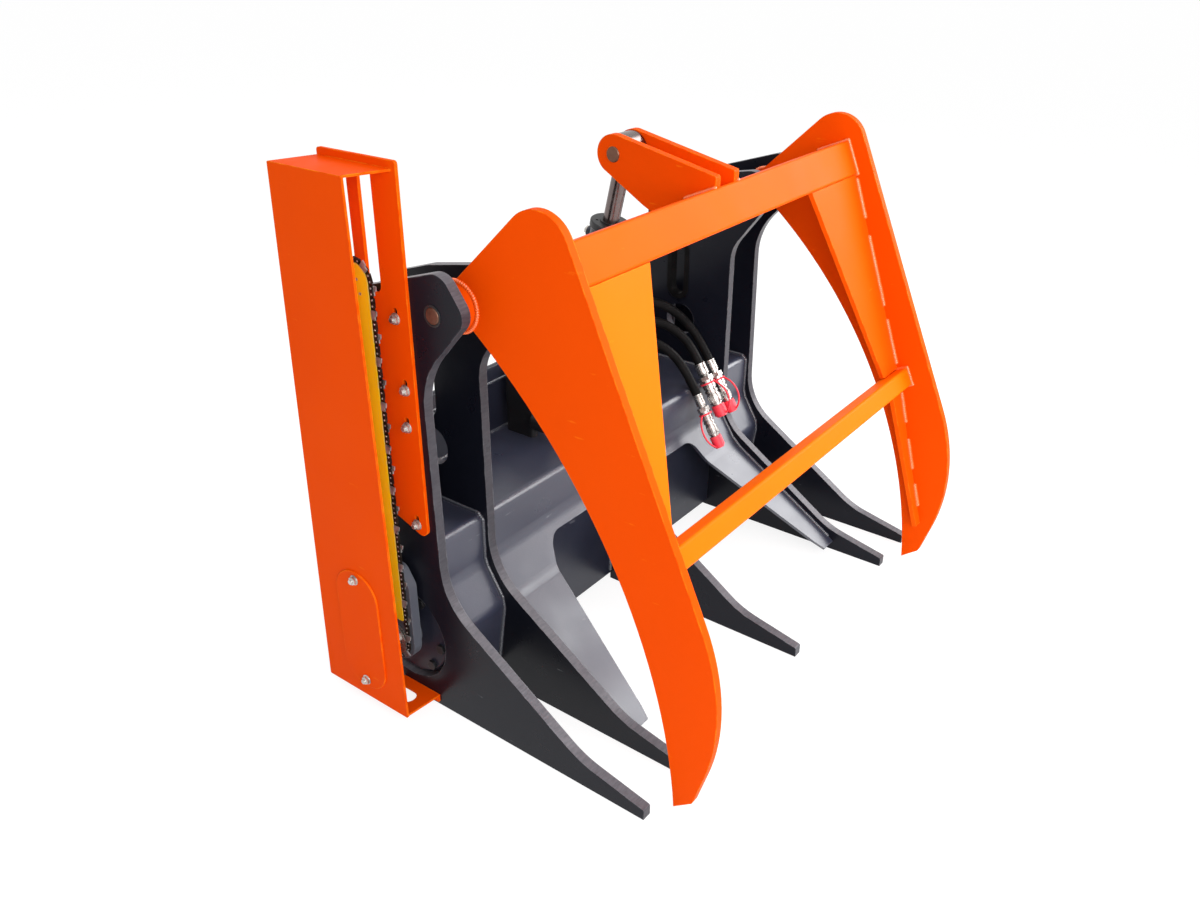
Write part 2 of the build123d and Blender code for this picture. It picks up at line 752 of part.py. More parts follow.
# Cylinder, along the line from its base pin to the rod pin
CYLINDER_LENGTH = hypot(ROD_PIN[0] - BASE_PIN[0], ROD_PIN[1] - BASE_PIN[1])
CYLINDER_AXIS = (
    (ROD_PIN[0] - BASE_PIN[0]) / CYLINDER_LENGTH,
    (ROD_PIN[1] - BASE_PIN[1]) / CYLINDER_LENGTH,
)
CYLINDER_PLANE = axis_plane(BASE_PIN, CYLINDER_AXIS)

for side, x_from in (("left", -CHEEK_INNER_X - CHEEK_T), ("right", CHEEK_INNER_X)):
    with BuildPart() as cheek:
        with BuildSketch(side_plane(x_from)):
            add(
                outline(
                    (BASE_PIN[0] - CHEEK_FOOT, BEAM_TOP, 0),
                    (BASE_PIN[0] - EYE_R, BASE_PIN[1] - CHEEK_SHOULDER, CHEEK_R),
                    (BASE_PIN[0] + EYE_R, BASE_PIN[1] - CHEEK_SHOULDER, CHEEK_R),
                    (BASE_PIN[0] + CHEEK_FOOT, BEAM_TOP, 0),
                )
            )
            with Locations(place(*BASE_PIN)):
                Circle(EYE_R)
                Circle(BASE_PIN_R + FIT, mode=Mode.SUBTRACT)
        extrude(amount=CHEEK_T)
    finish(cheek, f"base_cheek_{side}")


def port_plane(along, out):
    """A plane on the cylinder's rear side, looking out, at a distance along and out from its axis."""
    rear = Vector(0, CYLINDER_AXIS[1], -CYLINDER_AXIS[0])
    return Plane(origin=CYLINDER_PLANE.offset(along).origin + rear * out, x_dir=(1, 0, 0), z_dir=rear)


BASE_PIN_HALF = CHEEK_INNER_X + CHEEK_T + PIN_PROUD
finish(hinge_pin(-BASE_PIN_HALF, BASE_PIN_HALF, BASE_PIN, BASE_PIN_R), "base_pin")

with BuildPart() as barrel:
    with BuildSketch(CYLINDER_PLANE.offset(BARREL_FROM)):
        Circle(BARREL_R)
    extrude(amount=BARREL_TO - BARREL_FROM)
    with BuildSketch(side_plane(0)):
        with Locations(place(*BASE_PIN)):
            Circle(EYE_R)
    extrude(amount=EYE_HALF_W, both=True)
    with BuildSketch(CYLINDER_PLANE):
        Rectangle(2 * EYE_HALF_W, EYE_STEM)
    extrude(amount=BARREL_FROM)
    with BuildSketch(side_plane(0)):
        with Locations(place(*BASE_PIN)):
            Circle(BASE_PIN_R + FIT)
    extrude(amount=BARREL_R, both=True, mode=Mode.SUBTRACT)
    for along in BARREL_PORTS:
        with BuildSketch(port_plane(along, BARREL_R + BARREL_PORT_H)):
            Circle(BARREL_PORT_R)
        extrude(amount=-BARREL_PORT_H - BARREL_R / 2)
    with BuildSketch(CYLINDER_PLANE.offset(BORE_FROM)):
        Circle(BORE_R)
    extrude(amount=BARREL_TO - BORE_FROM, mode=Mode.SUBTRACT)
    for along in BARREL_PORTS:
        with BuildSketch(port_plane(along, BARREL_R + BARREL_PORT_H)):
            Circle(BARREL_PORT_BORE)
        extrude(amount=-BARREL_PORT_H - BARREL_R, mode=Mode.SUBTRACT)
finish(barrel, "barrel")

with BuildPart() as gland:
    with BuildSketch(CYLINDER_PLANE.offset(BARREL_TO)):
        Circle(GLAND_R)
    extrude(amount=GLAND_HEAD)
    with BuildSketch(CYLINDER_PLANE.offset(BARREL_TO - GLAND_LENGTH)):
        Circle(BORE_R - FIT)
    extrude(amount=GLAND_LENGTH)
    with BuildSketch(CYLINDER_PLANE.offset(BARREL_TO - GLAND_LENGTH)):
        Circle(ROD_R + FIT)
    extrude(amount=GLAND_LENGTH + GLAND_HEAD, mode=Mode.SUBTRACT)
    chamfer(gland.edges().filter_by(GeomType.CIRCLE).group_by(SortBy.RADIUS)[-1], length=GLAND_CHAMFER)
    with BuildSketch(CYLINDER_PLANE.offset(BARREL_TO + GLAND_HEAD)):
        with PolarLocations(GLAND_HOLE_CIRCLE, 4, start_angle=45):
            Circle(GLAND_HOLE_R)
    extrude(amount=-GLAND_HOLE_DEPTH, mode=Mode.SUBTRACT)
finish(gland, "gland")

PISTON_TOP = BARREL_TO - GLAND_LENGTH - PISTON_REST_GAP
with BuildPart() as rod:
    with BuildSketch(CYLINDER_PLANE.offset(PISTON_TOP)):
        Circle(ROD_R)
    extrude(amount=CYLINDER_LENGTH - PISTON_TOP - ROD_EYE_R + ROD_INTO_EYE)
    with BuildSketch(side_plane(0)):
        with Locations(place(*ROD_PIN)):
            Circle(ROD_EYE_R)
    extrude(amount=ROD_EYE_HALF_W, both=True)
    with BuildSketch(side_plane(0)):
        with Locations(place(*ROD_PIN)):
            Circle(ROD_PIN_R + ROD_EYE_PLAY)
    extrude(amount=ROD_EYE_HALF_W, both=True, mode=Mode.SUBTRACT)
finish(rod, "rod")

with BuildPart() as piston:
    with BuildSketch(CYLINDER_PLANE.offset(PISTON_TOP - PISTON_LENGTH)):
        Circle(BORE_R - FIT)
    extrude(amount=PISTON_LENGTH)
    chamfer(piston.edges().filter_by(GeomType.CIRCLE), length=PISTON_CHAMFER)
finish(piston, "piston")

# Saw guard: outer wall, top and bottom sheets and the strip bolted to the left outer tine
STRIP_X = OUTER_TINE_X + STRIP_T
GUARD_INNER_X = GUARD_X - GUARD_T
COVER_BOLTS = [(COVER_MID[0], COVER_MID[1] + sign * COVER_BOLT_SPAN / 2) for sign in (-1, 1)]

with BuildPart() as saw_guard:
    with BuildSketch(side_plane(-GUARD_X)):
        add(outline(*[(y, z, GUARD_CORNER_R) for y, z in GUARD_CORNERS]))
        with Locations(*[place(*end) for end in COVER_BOLTS]):
            Circle(COVER_STUD_R + FIT, mode=Mode.SUBTRACT)
    extrude(amount=GUARD_T)
    with BuildSketch(Plane.XY.offset(GUARD_TOP - GUARD_T - ATTACH_MID)):
        with BuildLine():
            Polyline(
                (-GUARD_INNER_X, GUARD_CORNERS[0][0] - GUARD_WALL_INSET - ATTACH_REAR),
                (-OUTER_TINE_X, GUARD_CORNERS[0][0] - GUARD_TOP_SKEW[0] - ATTACH_REAR),
                (-OUTER_TINE_X, GUARD_CORNERS[1][0] - GUARD_TOP_SKEW[1] - ATTACH_REAR),
                (-GUARD_INNER_X, GUARD_CORNERS[1][0] + GUARD_WALL_INSET - ATTACH_REAR),
                close=True,
            )
        make_face()
    extrude(amount=GUARD_T)
    with BuildSketch(side_plane(-STRIP_X)):
        add(
            outline(
                (STRIP_FRONT, STRIP_BOTTOM, STRIP_CORNER_R),
                (STRIP_FRONT, STRIP_TOP, STRIP_HOOD_R),
                (STRIP_REAR + STRIP_HOOD, STRIP_TOP, STRIP_HOOD_R),
                (STRIP_REAR + STRIP_HOOD, GUARD_TOP - GUARD_T, 0),
                (STRIP_REAR, GUARD_TOP - GUARD_T, 0),
                (STRIP_REAR, STRIP_BOTTOM + STRIP_STEP, STRIP_CORNER_R),
            )
        )
        add(
            outline(
                (STRIP_SLOT_Y[0], STRIP_SLOT_BOTTOM, STRIP_SLOT_R),
                (STRIP_SLOT_Y[0], GUARD_TOP - GUARD_T, 0),
                (STRIP_SLOT_Y[1], GUARD_TOP - GUARD_T, 0),
                (STRIP_SLOT_Y[1], STRIP_SLOT_BOTTOM, STRIP_SLOT_R),
            ),
            mode=Mode.SUBTRACT,
        )
        with Locations(*[Location(place(y, z + GUARD_BOLT_SLOT / 2), 90) for y, z in GUARD_BOLTS]):
            SlotCenterToCenter(GUARD_BOLT_SLOT, 2 * (GUARD_BOLT_R + FIT), mode=Mode.SUBTRACT)
    extrude(amount=STRIP_T)
    with BuildSketch(Plane.XY.offset(GUARD_BOTTOM - ATTACH_MID)):
        with BuildLine():
            Polyline(
                (-GUARD_INNER_X, GUARD_CORNERS[3][0] - GUARD_WALL_INSET - ATTACH_REAR),
                (-OUTER_TINE_X, GUARD_CORNERS[3][0] - GUARD_BOTTOM_SKEW[0] - ATTACH_REAR),
                (-OUTER_TINE_X, GUARD_CORNERS[2][0] - GUARD_BOTTOM_SKEW[1] - ATTACH_REAR),
                (-GUARD_INNER_X, GUARD_CORNERS[2][0] + GUARD_WALL_INSET - ATTACH_REAR),
                close=True,
            )
        make_face()
        with Locations(Location((-(GUARD_X + OUTER_TINE_X) / 2, CHIP_SLOT_Y - ATTACH_REAR), 90)):
            SlotOverall(*CHIP_SLOT, mode=Mode.SUBTRACT)
    extrude(amount=GUARD_T)
    with BuildSketch(side_plane(-OUTER_TINE_X - GUARD_T)):
        add(
            outline(
                (GUARD_CORNERS[2][0] - GUARD_BOTTOM_SKEW[1], GUARD_BOTTOM, 0),
                (GUARD_CORNERS[3][0] - GUARD_BOTTOM_SKEW[0], GUARD_BOTTOM, 0),
                (GUARD_CORNERS[3][0] - GUARD_BOTTOM_SKEW[0], GUARD_BOTTOM - GUARD_SKIRT, GUARD_CORNER_R),
                (GUARD_CORNERS[2][0] - GUARD_BOTTOM_SKEW[1], GUARD_BOTTOM - GUARD_SKIRT, GUARD_CORNER_R),
            )
        )
    extrude(amount=GUARD_T)
finish(saw_guard, "saw_guard")

finish(nuts_on_studs(-STRIP_X, GUARD_BOLTS, GUARD_BOLT_R, STRIP_T + TINE_T), "guard_bolts")

with BuildPart() as guard_cover:
    with BuildSketch(side_plane(-GUARD_X - COVER_T)):
        with Locations(Location(place(*COVER_MID), 90)):
            SlotOverall(COVER_LENGTH, 2 * COVER_HALF_W)
    extrude(amount=COVER_T)
    chamfer(guard_cover.faces().sort_by(Axis.X)[0].edges(), length=COVER_CHAMFER)
    with BuildSketch(side_plane(-GUARD_X - COVER_T)):
        with Locations(*[place(*end) for end in COVER_BOLTS]):
            Circle(COVER_STUD_R + FIT)
    extrude(amount=COVER_T, mode=Mode.SUBTRACT)
finish(guard_cover, "guard_cover")

finish(nuts_on_studs(-GUARD_X - COVER_T, COVER_BOLTS, COVER_STUD_R, COVER_T + GUARD_T), "cover_bolts")


# Saw motor behind the left outer tine
def disc(x_from, x_to, radius):
    """A disc about the saw axis between two X values."""
    return bar_along_x(x_from, x_to, SAW_AXIS, radius)


TINE_INNER_FACE = -OUTER_TINE_X + TINE_T
RING_BACK = TINE_INNER_FACE + RING_T
MOTOR_BOLTS = [
    (
        SAW_AXIS[0] + MOTOR_BOLT_CIRCLE * cos(radians(angle)),
        SAW_AXIS[1] + MOTOR_BOLT_CIRCLE * sin(radians(angle)),
    )
    for angle in MOTOR_BOLT_ANGLES
]

with BuildPart() as motor_flange:
    add(disc(TINE_INNER_FACE, RING_BACK, RING_R))
    add(disc(-FLANGE_FACE_X, TINE_INNER_FACE, FLANGE_R))
    fillet(motor_flange.edges().group_by(Axis.X)[0], radius=RING_EDGE_R)
    add(disc(-FLANGE_FACE_X, RING_BACK, PIVOT_R + FIT), mode=Mode.SUBTRACT)
    with BuildSketch(side_plane(-FLANGE_FACE_X)):
        with Locations(*[place(*bolt) for bolt in MOTOR_BOLTS]):
            Circle(MOTOR_BOLT_R + FIT)
    extrude(amount=RING_BACK + FLANGE_FACE_X, mode=Mode.SUBTRACT)
finish(motor_flange, "motor_flange")

MOTOR_BOLT_L = RING_BACK + FLANGE_FACE_X
finish(hex_bolts(-FLANGE_FACE_X, MOTOR_BOLTS, MOTOR_BOLT_R, BOLT_HEAD_H, MOTOR_BOLT_L), "motor_bolts")

with BuildPart() as saw_motor:
    add(disc(RING_BACK, RING_BACK + MOTOR_COLLAR[1], MOTOR_R + MOTOR_COLLAR[0]))
    add(disc(RING_BACK + MOTOR_COLLAR[1], RING_BACK + MOTOR_LENGTH, MOTOR_R))
    fillet(saw_motor.edges().group_by(Axis.X)[-1], radius=MOTOR_END_R)
    with BuildSketch(side_plane(RING_BACK + PORT_BLOCK_X[0])):
        with Locations(place(SAW_AXIS[0], SAW_AXIS[1] + MOTOR_R)):
            Rectangle(*PORT_BLOCK)
    extrude(amount=PORT_BLOCK_X[1])
    port_x = RING_BACK + PORT_BLOCK_X[0] + PORT_BLOCK_X[1] / 2
    port_y = SAW_AXIS[0] - ATTACH_REAR
    with BuildSketch(Plane.XY.offset(SAW_AXIS[1] + MOTOR_R + PORT_BLOCK[1] / 2 - ATTACH_MID)):
        with Locations((port_x, port_y - PORT_SPREAD), (port_x, port_y + PORT_SPREAD)):
            Circle(PORT_R)
    extrude(amount=PORT_H)
finish(saw_motor, "saw_motor")

# Saw arm: holder, bar, nuts and chain, swinging about the motor axis
HOLDER_FACE = -HOLDER_X - HOLDER_T
BAR_FACE = -BAR_X + BAR_T / 2
HOLDER_NUTS = [(SAW_AXIS[0], SAW_AXIS[1] + rise) for rise in BAR_NUT_RISE]

with BuildPart() as bar_holder:
    with BuildSketch(side_plane(HOLDER_FACE)):
        add(
            outline(
                (SAW_AXIS[0] - HOLDER_HALF_W, SAW_AXIS[1], 0),
                (SAW_AXIS[0] - HOLDER_HALF_W, HOLDER_TOP - HOLDER_SHOULDER, HOLDER_R[0]),
                (SAW_AXIS[0] - HOLDER_HEAD_HALF_W, HOLDER_TOP, HOLDER_R[1]),
                (SAW_AXIS[0] + HOLDER_HEAD_HALF_W, HOLDER_TOP, HOLDER_R[1]),
                (SAW_AXIS[0] + HOLDER_HALF_W, HOLDER_TOP - HOLDER_SHOULDER, HOLDER_R[0]),
                (SAW_AXIS[0] + HOLDER_HALF_W, SAW_AXIS[1], 0),
            )
        )
        with Locations(place(*SAW_AXIS)):
            Circle(HOLDER_HALF_W)
    extrude(amount=HOLDER_T)
    add(disc(-HOLDER_X, RING_BACK, PIVOT_R))
    add(disc(HOLDER_FACE, RING_BACK, SHAFT_R + SHAFT_GAP), mode=Mode.SUBTRACT)
    with BuildSketch(side_plane(HOLDER_FACE)):
        with Locations(place(SAW_AXIS[0], (BAR_ROOT_Z + HOLDER_TOP - HOLDER_PAD_INSET) / 2)):
            RectangleRounded(
                2 * (BAR_HALF_W - HOLDER_PAD_INSET), HOLDER_TOP - HOLDER_PAD_INSET - BAR_ROOT_Z, HOLDER_PAD_R
            )
    extrude(amount=BAR_FACE - HOLDER_FACE)
finish(bar_holder, "bar_holder")

with BuildPart() as saw_bar:
    with BuildSketch(side_plane(-BAR_X)):
        add(
            outline(
                (SAW_AXIS[0] - BAR_HALF_W, BAR_ROOT_Z, BAR_ROOT_R),
                (SAW_AXIS[0] - BAR_HALF_W, BAR_NOSE_Z, 0),
                (SAW_AXIS[0] + BAR_HALF_W, BAR_NOSE_Z, 0),
                (SAW_AXIS[0] + BAR_HALF_W, BAR_ROOT_Z, BAR_ROOT_R),
            )
        )
        with Locations(place(SAW_AXIS[0], BAR_NOSE_Z)):
            Circle(BAR_HALF_W)
    extrude(amount=BAR_T / 2, both=True)
    with BuildSketch(side_plane(-BAR_X)):
        with Locations(Location(place(SAW_AXIS[0], (BAR_ROOT_Z + BAR_NOSE_Z) / 2), 90)):
            SlotCenterToCenter(BAR_NOSE_Z - BAR_ROOT_Z, 2 * (BAR_HALF_W + BAR_ROOT_R))
            SlotCenterToCenter(
                BAR_NOSE_Z - BAR_ROOT_Z, 2 * (BAR_HALF_W - GROOVE_DEPTH), mode=Mode.SUBTRACT
            )
    extrude(amount=GROOVE_W / 2, both=True, mode=Mode.SUBTRACT)
    with BuildSketch(side_plane(-BAR_X)):
        with Locations(*[place(*nut) for nut in HOLDER_NUTS]):
            Circle(BAR_NUT_R + FIT)
    extrude(amount=BAR_T / 2, both=True, mode=Mode.SUBTRACT)
finish(saw_bar, "saw_bar")

finish(hex_bolts(-BAR_X - BAR_T / 2, HOLDER_NUTS, BAR_NUT_R, BAR_NUT_H, BAR_T), "bar_nuts")

# Chain: a closed row of links round the bar nose and the drive rim
PITCH_R = BAR_HALF_W + PITCH_OFFSET
CHAIN_RUN = BAR_NOSE_Z - SAW_AXIS[1]
CHAIN_PITCH = (2 * CHAIN_RUN + 2 * pi * PITCH_R) / (2 * LINK_PAIRS)


def rivet(index):
    """Side-view place of a chain rivet, counted up the front run from the saw axis."""
    s = index * CHAIN_PITCH
    if s < CHAIN_RUN:
        return (SAW_AXIS[0] - PITCH_R, SAW_AXIS[1] + s)
    s -= CHAIN_RUN
    if s < pi * PITCH_R:
        turn = s / PITCH_R
        return (SAW_AXIS[0] - PITCH_R * cos(turn), BAR_NOSE_Z + PITCH_R * sin(turn))
    s -= pi * PITCH_R
    if s < CHAIN_RUN:
        return (SAW_AXIS[0] + PITCH_R, BAR_NOSE_Z - s)
    turn = (s - CHAIN_RUN) / PITCH_R
    return (SAW_AXIS[0] + PITCH_R * cos(turn), SAW_AXIS[1] - PITCH_R * sin(turn))


def link_location(index):
    """Place of the link between two rivets: sketch x runs along the chain, y points outward."""
    start, end = rivet(index), rivet((index + 1) % (2 * LINK_PAIRS))
    middle = ((start[0] + end[0]) / 2, (start[1] + end[1]) / 2)
    return Location(place(*middle), degrees(atan2(end[1] - start[1], end[0] - start[0])))


HALF_LINK = CHAIN_PITCH / 2 + LINK_END
DRIVE_LINK = ((-HALF_LINK, 3), (-HALF_LINK, -3), (0, -10.5), (HALF_LINK, -3), (HALF_LINK, 3))
TIE_STRAP = ((-HALF_LINK, 3), (-HALF_LINK, -4), (HALF_LINK, -4), (HALF_LINK, 3))
CUTTER = ((-HALF_LINK, 4), (-HALF_LINK, -4), (HALF_LINK, -4), (HALF_LINK, 9), (0, 8), (-2, 4))
STRAP_LINKS = [2 * pair + 1 for pair in range(LINK_PAIRS)]
CUTTERS_LEFT = STRAP_LINKS[0::4]
CUTTERS_RIGHT = STRAP_LINKS[2::4]


def chain_row(x, thickness, shape, links):
    with BuildPart() as row:
        with BuildSketch(side_plane(x)):
            with Locations(*[link_location(link) for link in links]):
                Polygon(*shape, align=None)
        extrude(amount=thickness)
    return row.part


with BuildPart() as chain_drive_links:
    add(chain_row(-BAR_X - LINK_T / 2, LINK_T, DRIVE_LINK, [2 * pair for pair in range(LINK_PAIRS)]))
finish(chain_drive_links, "chain_drive_links")

with BuildPart() as chain_tie_straps:
    left_straps = [link for link in STRAP_LINKS if link not in CUTTERS_LEFT]
    right_straps = [link for link in STRAP_LINKS if link not in CUTTERS_RIGHT]
    add(chain_row(-BAR_X - 1.5 * LINK_T, LINK_T, TIE_STRAP, left_straps))
    add(chain_row(-BAR_X + 0.5 * LINK_T, LINK_T, TIE_STRAP, right_straps))
finish(chain_tie_straps, "chain_tie_straps")

with BuildPart() as chain_cutters:
    add(chain_row(-BAR_X - 2 * LINK_T, 1.5 * LINK_T, CUTTER, CUTTERS_LEFT))
    add(chain_row(-BAR_X + 0.5 * LINK_T, 1.5 * LINK_T, CUTTER, CUTTERS_RIGHT))
finish(chain_cutters, "chain_cutters")

with BuildPart() as drive_rim:
    add(disc(-BAR_X - RIM_HALF_T, -BAR_X - RIM_SLOT_HALF_W, RIM_R))
    add(disc(-BAR_X - RIM_SLOT_HALF_W, -BAR_X + RIM_SLOT_HALF_W, RIM_R - RIM_SLOT_DEPTH))
    add(disc(-BAR_X + RIM_SLOT_HALF_W, -BAR_X + RIM_HALF_T, RIM_R))
    with BuildSketch(side_plane(-BAR_X - RIM_HALF_T)):
        with Locations(place(*SAW_AXIS)):
            with PolarLocations(RIM_HOLE_CIRCLE, 6):
                Circle(RIM_HOLE_R)
    extrude(amount=2 * RIM_HALF_T, mode=Mode.SUBTRACT)
    add(disc(-BAR_X + RIM_HALF_T, RING_BACK, SHAFT_R))
    with BuildSketch(side_plane(-BAR_X - RIM_HALF_T)):
        with Locations(place(*SAW_AXIS)):
            RegularPolygon(RIM_NUT_R, 6)
    extrude(amount=-RIM_NUT_H)
finish(drive_rim, "drive_rim")

# Selector valve on the beam
VALVE_MID_X = sum(VALVE_X) / 2
FITTING_R = HOSE_R + FITTING_WALL

with BuildPart() as selector_valve:
    with BuildSketch(Plane.XY.offset(BEAM_TOP - ATTACH_MID)):
        with Locations((VALVE_MID_X, sum(VALVE_Y) / 2 - ATTACH_REAR)):
            RectangleRounded(VALVE_X[1] - VALVE_X[0], VALVE_Y[1] - VALVE_Y[0], VALVE_R)
    extrude(amount=VALVE_TOP - BEAM_TOP)
    with BuildSketch(Plane.XZ.offset(ATTACH_REAR - VALVE_Y[0])):
        with Locations(*[(VALVE_MID_X, z - ATTACH_MID) for z in COIL_Z]):
            Circle(COIL_R)
    extrude(amount=COIL_L)
    fillet(selector_valve.edges().filter_by(GeomType.CIRCLE).group_by(Axis.Y)[0], radius=COIL_EDGE_R)
    with BuildSketch(side_plane(VALVE_X[1])):
        with Locations(*[place(*route[0][1:]) for route in HOSE_ROUTES.values()]):
            Circle(FITTING_R)
    extrude(amount=FITTING_LENGTH)
finish(selector_valve, "selector_valve")


# Hoses, each along straight runs joined by tangent arcs
def bend_radii(points):
    """Radius of each bend: 0.45 of the shorter run over the tangent of half the turn."""
    radii = []
    for before, here, after in zip(points, points[1:], points[2:]):
        into, out = here - before, after - here
        half_turn = radians(into.get_angle(out)) / 2
        radii.append(0.45 * min(into.length, out.length) / tan(half_turn))
    return radii


for key, route in HOSE_ROUTES.items():
    points = [Vector(x, y - ATTACH_REAR, z - ATTACH_MID) for x, y, z in route]
    radii = bend_radii(points)
    print("hose", key, "bend radii", [round(radius) for radius in radii])
    with BuildPart() as hose:
        with BuildLine() as hose_path:
            FilletPolyline(*points, radius=radii)
        with BuildSketch(Plane(origin=points[0], z_dir=points[1] - points[0])):
            Circle(HOSE_R)
        sweep(path=hose_path.wire())
    print("hose", key, "length", round(hose_path.wire().length))
    finish(hose, f"hose_{key}")


# Couplers and dust caps on the hose ends
for key, route in HOSE_ROUTES.items():
    scale = COUPLER_SCALE[key]
    end, before = (Vector(x, y - ATTACH_REAR, z - ATTACH_MID) for x, y, z in (route[-1], route[-2]))
    plane = Plane(origin=end, x_dir=(1, 0, 0), z_dir=end - before)
    nose_r = COUPLER_NOSE[2] * scale
    collar_from, collar_to, collar_r = COUPLER_COLLAR
    hex_from, hex_to, hex_r = COUPLER_HEX
    with BuildPart() as coupler:
        for step_from, step_to, radius in COUPLER_STEPS:
            with BuildSketch(plane.offset(step_from)):
                Circle(radius * scale)
            extrude(amount=step_to - step_from)
        with BuildSketch(plane.offset(hex_from)):
            RegularPolygon(hex_r * scale, 6)
        extrude(amount=hex_to - hex_from)
    finish(coupler, f"coupler_{key}")
    with BuildPart() as dust_cap:
        with BuildSketch(plane.offset(CAP_FROM)):
            Circle(nose_r + CAP_WALL)
        extrude(amount=CAP_TO - CAP_FROM - CAP_TIP[0])
        with BuildSketch(plane.offset(CAP_TO - CAP_TIP[0])):
            Circle(nose_r + CAP_WALL - CAP_TIP[1])
        extrude(amount=CAP_TIP[0])
        with BuildSketch(plane.offset(CAP_FROM)):
            Circle(nose_r + FIT)
        extrude(amount=COUPLER_NOSE[1] - CAP_FROM, mode=Mode.SUBTRACT)
        ring_from, ring_length, ring_wall = CAP_RING
        with BuildSketch(plane.offset(collar_from + ring_from)):
            Circle(collar_r * scale + ring_wall)
            Circle(collar_r * scale + FIT, mode=Mode.SUBTRACT)
        extrude(amount=ring_length)
        turn = radians(STRAP_SIDE[key])
        outward = plane.x_dir * cos(turn) + plane.y_dir * sin(turn)
        strap_root = collar_r * scale + ring_wall - STRAP_R / 2
        with BuildLine(Plane(origin=end, x_dir=outward, z_dir=outward.cross(plane.z_dir))) as strap_path:
            strap = ThreePointArc(
                (strap_root, collar_from + ring_from + ring_length / 2),
                (strap_root + STRAP_BULGE, (collar_to + CAP_TO) / 2),
                (nose_r + STRAP_R, CAP_TO - 2 * STRAP_R),
            )
        with BuildSketch(Plane(origin=strap @ 0, z_dir=strap % 0)):
            Circle(STRAP_R)
        sweep(path=strap_path.wire())
    finish(dust_cap, f"dust_cap_{key}")
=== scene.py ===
"""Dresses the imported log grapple: paint, steel and rubber finishes, weld beads, fasteners, hoses, light."""

import logging
from dataclasses import dataclass
from enum import Enum
from math import cos, pi, radians, sin
from typing import Callable

import bpy
from mathutils import Matrix, Vector


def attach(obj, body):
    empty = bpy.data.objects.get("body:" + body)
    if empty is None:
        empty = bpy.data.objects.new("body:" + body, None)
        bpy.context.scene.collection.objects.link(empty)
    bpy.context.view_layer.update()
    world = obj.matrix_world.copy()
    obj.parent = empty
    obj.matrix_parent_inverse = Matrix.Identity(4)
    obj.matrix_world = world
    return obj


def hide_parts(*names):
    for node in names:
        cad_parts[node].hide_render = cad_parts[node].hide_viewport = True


logging.basicConfig(level=logging.INFO, format="%(name)s: %(message)s")
LOG = logging.getLogger("log_grapple")

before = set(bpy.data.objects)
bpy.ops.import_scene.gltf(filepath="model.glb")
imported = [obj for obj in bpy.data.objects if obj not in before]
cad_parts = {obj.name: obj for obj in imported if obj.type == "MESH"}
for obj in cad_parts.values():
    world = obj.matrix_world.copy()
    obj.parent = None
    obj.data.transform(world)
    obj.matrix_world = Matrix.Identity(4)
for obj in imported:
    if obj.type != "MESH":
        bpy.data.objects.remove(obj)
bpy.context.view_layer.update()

# Side measures run rearward from the tine tips and up from the floor; this is the part's origin there.
ORIGIN = Vector((0.0, 0.715, 0.3015))
FLOOR_Z = -ORIGIN.z

Point = tuple[float, float, float]
Spot = tuple[float, float]
Tube = tuple[float, float, float, float]
Socket = bpy.types.NodeSocket
Piece = bpy.types.Object
FaceTest = Callable[[bpy.types.MeshPolygon], bool]

# Sockets of a Mix node that mixes colours.
MIX_SHARE, MIX_FIRST, MIX_SECOND, MIX_RESULT = 0, 6, 7, 2
# Cosines between the rounded and the true normal, on a flat face and on an edge.
EDGE_COSINES = (0.995, 0.88)
BEVEL_SAMPLES = 4


def seat(x: float, y: float, z: float) -> Vector:
    """Turn side measures, with x to the right of the middle, into the part's frame."""
    return Vector((x, y, z)) - ORIGIN


